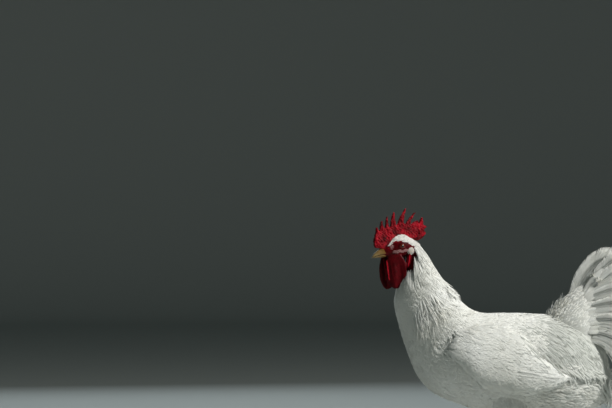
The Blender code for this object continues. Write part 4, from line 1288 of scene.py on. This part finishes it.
for side, word in SIDES:
    surface = wing_surface(side)
    flip = -side
    # Toward the tip the coverts thin out.
    place, angle = spread(surface, 1700, 1.3, 6.95, 0.03, 0.97, seed=60 + side)
    keep = place > 1.3 + 1.2 * evenly(len(place))
    place, angle = place[keep], angle[keep]
    length, width, turn, rise = (np.interp(place, WING_TRAVEL, values) for values in (
        (42, 31, 20), (9.5, 10, 8), (0.1, 0.3, 0.35), (2.6, 1.8, 0.6)))
    tract("covert_feathers_" + word, surface, place, angle, length, width, -turn, wing_patch,
          feather_white, 62 + side, blunt=3.0, full=0.4, lift=2.5, rise=rise, ruffle=0.25,
          camber=0.09, nodes=("wing_coverts_" + word,), flip=flip, edge=0.1)
    quills = []
    # Secondaries, then primaries: number, lowest and highest level, place of the tips, how much
    # nearer the root the last tip is, width, spacing of the layers, how deep the first one lies.
    for count, low, high, end, shorter, width, layer, depth in (
        (9, 0.40, 0.88, 0.75, 0.8, 16, 0.5, 1.0), (7, -0.02, 0.40, 0.12, 0.0, 12, 0.7, 0.0),
    ):
        travel = np.linspace(0, 1, 18)
        rank = down(1, count)
        stop = end + shorter * rank**1.5
        places = QUILL_ROOT + (stop - QUILL_ROOT) * travel
        level = np.linspace(low, high, count)[:, None] + 0 * travel
        normal = slopes(surface, places, level)[2] * flip
        path = surface(places, level) + normal * (layer * rank * 3 - depth)[..., None]
        widths = tapered(width, travel + 0 * rank, foot=0.5, growth=2, blunt=7, close=0.6)
        patch = wing_patch(places[:, 0], level[:, 0])
        quills += barbed(path, normal, widths, BARB_SPACING, patch, 68 + side, split=0.35,
                         fray=0.1, droop=0.12, uneven=(1.1, 0.9) if side < 0 else (0.9, 1.1))
    coat_piece("flight_feathers_" + word, quills, feather_white,
               "wing_secondaries_" + word, "wing_primaries_" + word)

# ---------------------------------------------------------------- saddle
# Long narrow white saddle hackles are rooted in the skin of the back and hang over the flanks
# and the wing tips.

# The saddle narrows toward the shoulders, and its feathers are longer down its sides.
place, angle = spread(body_surface, 4500, -0.45, 4.2, -1.75, 1.75, seed=71)
keep = np.abs(angle) < np.interp(place, (0.5, 1.6, 2.6, 4.2), (1.75, 1.4, 1.15, 0.75))
place, angle = place[keep], angle[keep]
outward = np.clip(np.abs(angle), 0, 1)
uneven = 0.5 + 0.75 * evenly(len(place))
length = (56 + 32 * outward) * uneven * np.interp(place, (-0.5, 1.5), (0.55, 1))
# The saddle's white is greyer than the body's: painted shade that stands for the tail's shadow on
# it.
SHADED_SADDLE_WHITE = ((0.3, (0.62, 0.63, 0.59)), (0.7, (0.74, 0.745, 0.71)))
shaded_saddle_white = feather_material("shaded_saddle_white", SHADED_SADDLE_WHITE, roughness=0.65, glow=0.15)
tract("saddle_hackles", body_surface, place, angle, length, 5.0,
      np.sign(angle) * (0.25 + 0.6 * outward), body_patch, shaded_saddle_white, 72, blunt=1.5, full=0.3,
      lift=3.5, rise=0.8, ruffle=0.34, camber=0.10, stations=8, over=wing_height, edge=-0.5,
      droop=0.25)

# ---------------------------------------------------------------- tail fan
# Seven stiff tail feathers on each side stand in a tent that opens downward. Each has a strong
# quill and a broad vane whose barbs part here and there.

# The first and the last feather of the fan: place of the root, angle, curl, length.
FAN_ROOTS = ((40, 325), (76, 300))
FAN_ANGLES = (71, 8)
FAN_CURLS = (70, 26)
FAN_LENGTHS = (131, 152)
FAN_FEATHERS = 7
FAN_WIDTH = 31
TENT_ROOT = (54, 308)
TENT_RIDGE = 4.5
TENT_SPREAD = 36
TENT_REACH = 170
LAYER_STEP = 3.4


def tent(x, z, layer):
    """Distance of a tail feather from the middle plane: the tail is a tent, open downward."""
    direction = np.degrees(np.arctan2(z - TENT_ROOT[1], x - TENT_ROOT[0]))
    reach = np.hypot(x - TENT_ROOT[0], z - TENT_ROOT[1]) / TENT_REACH
    lowness = np.clip((FAN_ANGLES[0] - direction) / (FAN_ANGLES[0] - FAN_ANGLES[1]), 0, 1.15)
    return TENT_RIDGE + TENT_SPREAD * lowness * np.clip(reach, 0, 1.1) + layer * LAYER_STEP


def fan_path(share, stations):
    """Centre line of a tail feather in the side view, share of the way from front to rear.

    It leaves the root at its own angle and turns over by its curl times the 3.5th power of the
    way along it, summed over short steps.
    """
    root = smooth(FAN_ROOTS, share)
    angle, curl, length = smooth(tuple(zip(FAN_ANGLES, FAN_CURLS, FAN_LENGTHS)), share).T
    travel = (np.arange(stations - 1) + 0.5) / (stations - 1)
    heading = np.radians(angle[:, None] - curl[:, None] * travel**3.5)
    step = (length / (stations - 1))[:, None]
    walk = joined(np.cos(heading) * step, np.sin(heading) * step)
    walk = np.concatenate([np.zeros((len(share), 1, 2)), np.cumsum(walk, axis=1)], axis=1)
    return root[:, None] + walk


def in_tent(plane, layer, side, limit=math.inf):
    """Points of the tail from places in the side view, and the normals of the tent there."""
    def point(x, z):
        return joined(x, side * np.minimum(tent(x, z, layer), limit), z)
    x, z = plane[..., 0], plane[..., 1]
    along = point(x + 1, z) - point(x - 1, z)
    up = point(x, z + 1) - point(x, z - 1)
    return point(x, z), unit(np.cross(along, up)) * -side


def tail_patch(places, across):
    """Place of a tail feather's root on the unwrap."""
    return joined(0.06 + 0.88 * places, 0.06 + 0.88 * across)


# The tail's white, used by its fan, sickles, plumes and coverts, is greyer than the body's: painted
# shade.
SHADED_TAIL_WHITE = ((0.3, (0.68, 0.68, 0.63)), (0.7, (0.80, 0.79, 0.75)))
shaded_tail_white = feather_material("shaded_tail_white", SHADED_TAIL_WHITE, roughness=0.6, glow=0.35)
for side, word in SIDES:
    share = (np.arange(FAN_FEATHERS) + 0.5) / FAN_FEATHERS
    plane = fan_path(share, 26)[:, 2:24]
    path, normal = in_tent(plane, down(1.2, FAN_FEATHERS) - 0.3, side)
    travel = np.linspace(0, 1, path.shape[1])
    widths = tapered(FAN_WIDTH, travel + 0 * share[:, None], foot=0.35, growth=1.6, blunt=12,
                     close=0.55)
    coat_piece("tail_feathers_" + word, barbed(
        path, normal, widths, 1.2, tail_patch(share, 0.2), 80 + side, split=0.15, fray=0.15,
        droop=0.05, quill=1.6), shaded_tail_white, "tail_fan_" + word)

# ---------------------------------------------------------------- sickle feathers
# The two main sickles arch over the fan, and pairs of lesser sickles hang under them. All are
# white and rooted beside the fan, their vanes are soft and their edges frayed.

# Points of the quill (x, z), width, layer.
MAIN_SICKLE = (
    ((60, 338), (84, 380), (107, 406), (127, 421), (160, 436), (200, 432), (239, 400), (263, 350),
     (274.5, 298)), 28, 1)
LESSER_SICKLES = (
    (((62, 338), (90, 374), (126, 402), (172, 410), (216, 386), (246, 334)), 26, 2),
    (((60, 344), (95, 363), (140, 374), (184, 366), (222, 334), (241, 284)), 25, 3),
    (((60, 334), (95, 345), (130, 349), (168, 338), (202, 306), (218, 258)), 24, 4),
    (((64, 316), (96, 322), (126, 319), (156, 300), (180, 268), (190, 228)), 23, 5),
    (((72, 298), (98, 299), (122, 290), (143, 270), (155, 240), (158, 208)), 21, 6),
)


CURVE_STEPS = 40


def curve(points):
    """The curve of a sickle through its points, at even steps."""
    return smooth(points, np.linspace(0, 1, CURVE_STEPS) * (len(points) - 1))


def hung(plane, layer, side):
    """Points and normals in the tent, no further out than the feather's layer lets it hang."""
    limit = TENT_RIDGE + layer * LAYER_STEP + TENT_SPREAD * (0.3 + 0.24 * layer)
    return in_tent(plane, layer, side, limit)


def sickle(points, width, layer, side, seed):
    """Arrays of one curved tail feather that follows the tail's tent."""
    path, normal = hung(curve(points)[None], layer, side)
    travel = np.linspace(0, 1, CURVE_STEPS)[None]
    widths = tapered(width, travel, foot=0.35, growth=2.2, blunt=5, close=0.8)
    patch = tail_patch(0.5, np.array([layer / 7]))
    return barbed(path, normal, widths, BARB_SPACING, patch, seed, split=0.4, fray=0.3,
                  droop=0.12, quill=1.7, slant=(52, 18))


for side, word in SIDES:
    coat_piece("main_sickle_feather_" + word, sickle(*MAIN_SICKLE, side, 90 + side), shaded_tail_white,
               "main_sickle_" + word)
    for number, shape in enumerate(LESSER_SICKLES, start=1):
        coat_piece(f"lesser_sickle_feather_{number}_{word}",
                   sickle(*shape, side, 90 + 3 * number + side), shaded_tail_white,
                   f"lesser_sickle_{number}_{word}")

# Soft narrow plumes fill the sides of the tail between the sickles, and their roots lie over the
# mass of coverts round the tail's root.
PLUMES = 420  # a side
LOWEST_PLUME = ((76, 286), (98, 280), (117, 264), (130, 240), (137, 212), (136, 184))
PLUME_STEPS = np.linspace(0, 1, 11)
# The mass of coverts round the tail's root: x, z, half length, half thickness from its foot up.
TAIL_BASE_STATIONS = (
    (56, 288, 54, 44), (64, 315, 47, 37), (71, 338, 35, 27), (78, 358, 24, 17), (84, 374, 12, 8),
)
TAIL_BASE_TILT = math.radians(66)
BASE_REAR = 1.7  # how much further it reaches behind its middle than in front


def base_cover(x, z):
    """Half thickness of the tail's root at places in the side view: a bell curve at each level."""
    stations = np.array(TAIL_BASE_STATIONS)
    foot = stations[0, :2]
    upward = stations[-1, :2] - foot
    above = joined(x, z) - foot
    level = above @ upward / (upward @ upward)
    steps = np.linspace(0, 1, len(stations))
    half = np.interp(level, steps, stations[:, 2])
    off_middle = above - np.clip(level, 0, 1)[..., None] * upward
    aside = off_middle @ (math.sin(TAIL_BASE_TILT), -math.cos(TAIL_BASE_TILT))
    half = np.where(aside > 0, BASE_REAR, 1) * half
    bulge = np.exp(-((aside / half) ** 2) / 1.6) * np.clip((1.9 - level) * 1.3, 0, 1)
    return np.interp(level, steps, stations[:, 3]) * bulge


for side, word in SIDES:
    rng = np.random.default_rng(97 + side)
    curves = [points for points, _, _ in (MAIN_SICKLE, *LESSER_SICKLES)] + [LOWEST_PLUME]
    curves = np.stack([curve(points) for points in curves])
    level = evenly(PLUMES) * 0.98 + 0.01
    start = 0.62 * rng.uniform(0, 1, PLUMES) ** 1.4
    topmost = (level < 0.35) & (np.arange(PLUMES) % 2 == 0)
    start = np.where(topmost, 0.02, start)
    reach = np.minimum(0.98, start + rng.uniform(0.25, 0.42, PLUMES))
    travel = start[:, None] + (reach - start)[:, None] * PLUME_STEPS
    between = level * (len(curves) - 1)
    row = np.minimum(between.astype(int), len(curves) - 2)
    part = (between - row)[:, None, None]
    first, second = interpolated(curves[row], travel), interpolated(curves[row + 1], travel)
    plane = first * (1 - part) + second * part
    plane = plane + rng.normal(0, 1.5, (PLUMES, 1, 2)) * PLUME_STEPS[:, None]
    depth = 0.3 + 6.0 * level[:, None] + rng.normal(0, 0.25, (PLUMES, 1))
    path, normal = hung(plane, depth, side)
    root_thickness = base_cover(plane[..., 0], plane[..., 1])
    emerging = (10 * PLUME_STEPS**0.6 - 3) * np.clip(root_thickness / 8, 0, 1)
    over_root = (root_thickness + emerging) * np.clip((0.98 - level[:, None]) * 6, 0, 1)
    over_root = over_root + topmost[:, None] * 3.0 * PLUME_STEPS
    path[..., 1] = side * np.maximum(np.abs(path[..., 1]), over_root)
    widths = rng.uniform(6.0, 11.0, (PLUMES, 1)) * leaf(PLUME_STEPS, 1.7, 0.3)
    widths = np.maximum(widths * (1 + 0.5 * topmost[:, None]), 0.3)
    roll = rng.normal(0, 0.3, (PLUMES, 1)) * PLUME_STEPS
    coat_piece("tail_plumes_" + word, [vane_arrays(
        path, normal, widths, 0.25, 0.1, roll, tail_patch(start, level))], shaded_tail_white)

# ---------------------------------------------------------------- tail coverts
# Soft curved white feathers grow round the root of the tail and wrap it, and fluff stands up in
# front of it.


def tail_base_surface(place, angle):
    """Point of the mass of coverts: ovals stacked up the tail, place 4 at their foot."""
    last = len(TAIL_BASE_STATIONS) - 1
    x, z, half_length, half_thickness = np.moveaxis(smooth(TAIL_BASE_STATIONS, last - place), -1, 0)
    length = np.cos(angle) * half_length
    return joined(x - length * math.sin(TAIL_BASE_TILT), np.sin(angle) * half_thickness,
                  z + length * math.cos(TAIL_BASE_TILT))


def tail_base_patch(place, angle):
    """Place of a covert's root on the unwrap."""
    return tail_patch(place / 4, (angle / FULL_TURN) % 1)


place, angle = spread(tail_base_surface, 2200, 0.05, 4.0, 0, FULL_TURN, seed=101)
to_rear = (1 - np.cos(angle)) / 2
shorter_on_top = 1 - (0.7 - 0.25 * to_rear) * np.clip(1 - place / 1.5, 0, 1)
tract("tail_covert_feathers", tail_base_surface, place, angle,
      (30 + 30 * to_rear) * shorter_on_top, 6 + 3 * to_rear, 0.7 * np.sin(angle),
      tail_base_patch, shaded_tail_white, 102, blunt=1.9, full=0.35, lift=3.0, rise=0.8, ruffle=0.25,
      camber=0.10, stations=8, nodes=("tail_coverts",), edge=0.3, droop=0.1)

# Loose fluff stands up before the root of the tail.
place, angle = spread(tail_base_surface, 150, 2.2, 3.9, -0.9, 0.9, seed=105)
tract("tail_root_fluff", tail_base_surface, place, angle, 18, 2.2, 0.3 * angle, tail_base_patch,
      shaded_tail_white, 106, blunt=1.5, full=0.3, lift=2.0, rise=5.0, ruffle=0.6, camber=0.2, edge=0.3,
      clump=7)

# ---------------------------------------------------------------- neck hackles
# Long narrow pointed feathers cover the neck and fall as a cape over shoulders and back. They
# are short and fine under the head and on the throat.


def half_wing(x, z):
    """Half the height of the folded wing: the cape presses down on it."""
    return wing_height(x, z) * 0.5


# The cape ends higher in front, and leaves the lobes and the lappets bare.
place, angle = spread(body_surface, 13500, 8.7, 12.95, -math.pi, math.pi, seed=111)
forward, _, up = to_head(body_surface(place, angle)).T
lappet_x = LAPPET_PLACE[0] - LAPPET_SHEAR * (up - LAPPET_PLACE[2])
over_lappet = (forward > lappet_x - 5) & (forward < lappet_x + 9) & (up > -39)
over_lappet = over_lappet | (forward > -20) & (up > -19) | (forward > -13) & (up > -35)
keep = (place > 8.7 + 1.5 * below(angle, 1.5)) & ~over_lappet
place, angle = place[keep], angle[keep]
front = below(angle, 1.7)
length = np.interp(place, (8.7, 10, 11, 12, 12.9), (58, 52, 42, 30, 16)) * (1 - 0.45 * front)
width = np.interp(place, (8.7, 11, 12.9), (3.8, 3.0, 2.0)) * (1 + 0.3 * front)
for number, word in enumerate(("first", "second", "third")):
    chosen = np.arange(len(place)) % 3 == number
    tract(f"neck_hackles_{word}", body_surface, place[chosen], angle[chosen], length[chosen],
          width[chosen], 0, body_patch, feather_white, 112, blunt=1.7, full=0.3, lift=4.0,
          rise=0.7, ruffle=0.24, camber=0.12, over=half_wing, clump=11)

# The cape ends in loose strands: down each side they hang free, and on the back they stand up.
place, angle = spread(body_surface, 900, 8.75, 9.7, -1.95, 1.95, seed=115)
keep = (np.abs(angle) > 1.05) | (np.abs(angle) < 0.5)
place, angle = place[keep], angle[keep]
on_back = np.abs(angle) < 0.5
tract("cape_fringe", body_surface, place, angle, 46 - 16 * on_back, 2.6, 0, body_patch,
      feather_white, 116, blunt=1.6, full=0.25, lift=2.0, rise=3.0, ruffle=0.8, camber=0.25,
      over=half_wing, clump=9)

# ---------------------------------------------------------------- head feathers
# The tiniest feathers of the coat: a white band over each eye, on the crown beside the comb and
# behind the ear lobes. The face itself is bare.

HEAD_BACK = 3.5  # reach of the head's rounded back behind its first station


def head_surface(place, angle):
    """Point of the head at a place counted in its stations and an angle round it.

    Before the first station the oval shrinks round its middle along a quarter circle.
    """
    oval = head_oval(HEAD_STATIONS, place, angle, *HEAD_ROUNDNESS)
    beyond = np.clip(-place, 0, 0.99)[..., None] * math.pi / 2
    x, top, _, bottom, _ = HEAD_STATIONS[0]
    middle = np.array((x, 0, (top + bottom) / 2))
    oval = np.where(beyond > 0, middle + (oval - middle) * np.cos(beyond), oval)
    return from_head(oval - np.array((HEAD_BACK, 0, 0)) * np.sin(beyond))


# The white band lies between the bare face and the comb.
place, angle = spread(head_surface, 5000, -0.95, 5.6, 0, FULL_TURN, seed=121)
forward, _, up = to_head(head_surface(place, angle)).T
brow = np.interp(forward, (-31, -26, -21, -18, -11, -7, 2, 13, 17, 20, 24),
                 (-30, -20, -13, -5, 0.5, 4.6, 8.0, 9.0, 7.4, 5.0, 3.2))
beside_comb = np.interp(
    forward, (-30, -20, 0, 8, 12, 16, 20, 24), (30, 30, 30, 16.5, 13.5, 10, 6.8, 4.0))
keep = (up > brow) & (up < beside_comb)
place, angle = place[keep], angle[keep]
CROWN_WHITE = ((0.3, (0.70, 0.67, 0.64)), (0.7, (0.84, 0.82, 0.79)))
crown_white = feather_material("crown_white", CROWN_WHITE, roughness=0.62, glow=0.15)
tract("head_feathers", head_surface, place, angle, 7 + 0.3 * place, 2.2, 0, patch_round(0.16),
      crown_white, 122, blunt=2.0, full=0.3, lift=0.6, rise=0.9, ruffle=0.5, camber=0.3,
      stations=5, edge=-0.9, droop=0.1, thickness=0.2, clump=6)

# Sparse pale bristles lie on the cheek under each eye, from the beak's corner to the ear lobe.
CHEEK_BRISTLE = ((0.3, (0.24, 0.07, 0.07)), (0.7, (0.42, 0.20, 0.20)))
place, angle = spread(head_surface, 6000, 0.6, 7.0, 0, FULL_TURN, seed=125)
forward, _, up = to_head(head_surface(place, angle)).T
middle_line = np.interp(forward, (-8, 6, 18, 26), (-9.0, -8.4, -6.4, -5.0))
under_eye = (np.abs(up - middle_line) < 1.9) & (forward > -8) & (forward < 19)
before_eye = np.hypot((forward - 20.0) / 2.2, (up - 1.6) / 3.2) < 1
keep = under_eye | before_eye
place, angle = place[keep], angle[keep]
cheek_bristle = feather_material("cheek_bristle", CHEEK_BRISTLE, roughness=0.6, glow=0.2)
tract("cheek_bristles", head_surface, place, angle, 5.0, 0.9, 0, patch_round(0.13),
      cheek_bristle, 126, blunt=1.6, full=0.3, lift=0.3, rise=0.5, ruffle=0.5, camber=0.3,
      stations=4, edge=-0.6, thickness=0.15, clump=4)

# ---------------------------------------------------------------- floor and backdrop
# A pale paper floor of a studio sweeps up into a round backdrop. The bird stands on it, and it
# isn't part of the bird.

FLOOR_RADIUS = 9000
BACKDROP_HEIGHT = 5200
SWEEP = 1800
FLOOR_START = 0.000005  # radius of the face at its centre, of the floor's
FLOOR_RINGS = 61
FLOOR_SIDES = 96


def sweep_profile(share):
    """Radius and height along the floor, round the sweep and up the wall."""
    flat = joined(np.clip(share * 3, FLOOR_START, 1) * FLOOR_RADIUS, 0)
    bend = np.clip(share * 3 - 1, 0, 1) * math.pi / 2
    bent = joined(np.sin(bend) * SWEEP, (1 - np.cos(bend)) * SWEEP)
    wall = joined(0, np.clip(share * 3 - 2, 0, 1) * (BACKDROP_HEIGHT - SWEEP))
    return flat + bent + wall


profile = sweep_profile(np.linspace(0, 1, FLOOR_RINGS))[:, None]
radius, level = profile[..., 0], profile[..., 1]
around = circle(FLOOR_SIDES)
studio = joined(radius * np.cos(around), radius * np.sin(around), level)
studio_mesh = bpy.data.meshes.new("studio")
studio_faces = ring_quads(FLOOR_RINGS, FLOOR_SIDES).tolist()
studio_faces.append(list(range(FLOOR_SIDES))[::-1])
studio_mesh.from_pydata((studio.reshape(-1, 3) * MM).tolist(), [], studio_faces)
studio_mesh.shade_smooth()
studio_floor = add_object("studio_floor", studio_mesh)
paper, _, _ = new_material(
    "studio_paper", Roughness=0.9, Base_Color=(0.47, 0.50, 0.485, 1), Specular_IOR_Level=0.1)
studio_mesh.materials.append(paper)

# ---------------------------------------------------------------- light and camera
# A nearly neutral key light stands high behind the tail, a little toward the viewer. A weak cool
# fill comes from in front of the bird, and a stronger one from its far side. The camera is
# level and far away.

BIRD_CENTRE = np.array((0.0, 0.0, 300.0))


def add_light(name, place, size, power, colour):
    """Square area light at a place in millimetres, turned to the bird."""
    light = bpy.data.lights.new(name, "AREA")
    light.size = size * MM
    light.energy = power
    light.color = colour
    lamp = add_object(name, light)
    lamp.location = np.array(place) * MM
    x, y, z = BIRD_CENTRE - np.array(place)
    lamp.rotation_euler = (math.atan2(math.hypot(x, y), -z), 0, math.atan2(y, x) - math.pi / 2)


# Place, size, power in watts, colour.
add_light("key_light", (2450, -1420, 2600), 600, 160, (0.98, 0.98, 0.93))
add_light("fill_light", (-2400, -2600, 1500), 2600, 2.0, (0.58, 0.96, 0.92))
add_light("back_fill_light", (-800, 3200, 1800), 2600, 24, (0.85, 0.94, 1.0))
world = bpy.data.worlds.new("studio_air")
world.use_nodes = True
background = world.node_tree.nodes["Background"]
background.inputs["Color"].default_value = (0.60, 0.94, 0.96, 1)
background.inputs["Strength"].default_value = 0.03
bpy.context.scene.world = world
bpy.context.scene.view_settings.view_transform = "Standard"

camera = bpy.data.cameras.new("camera")
camera.lens = 200
camera.sensor_width = 36
camera.clip_end = 60
viewer = add_object("camera", camera)
viewer.location = (-0.3831, -5.61, 0.5115)
viewer.rotation_euler = (math.pi / 2, 0, 0)
bpy.context.scene.camera = viewer
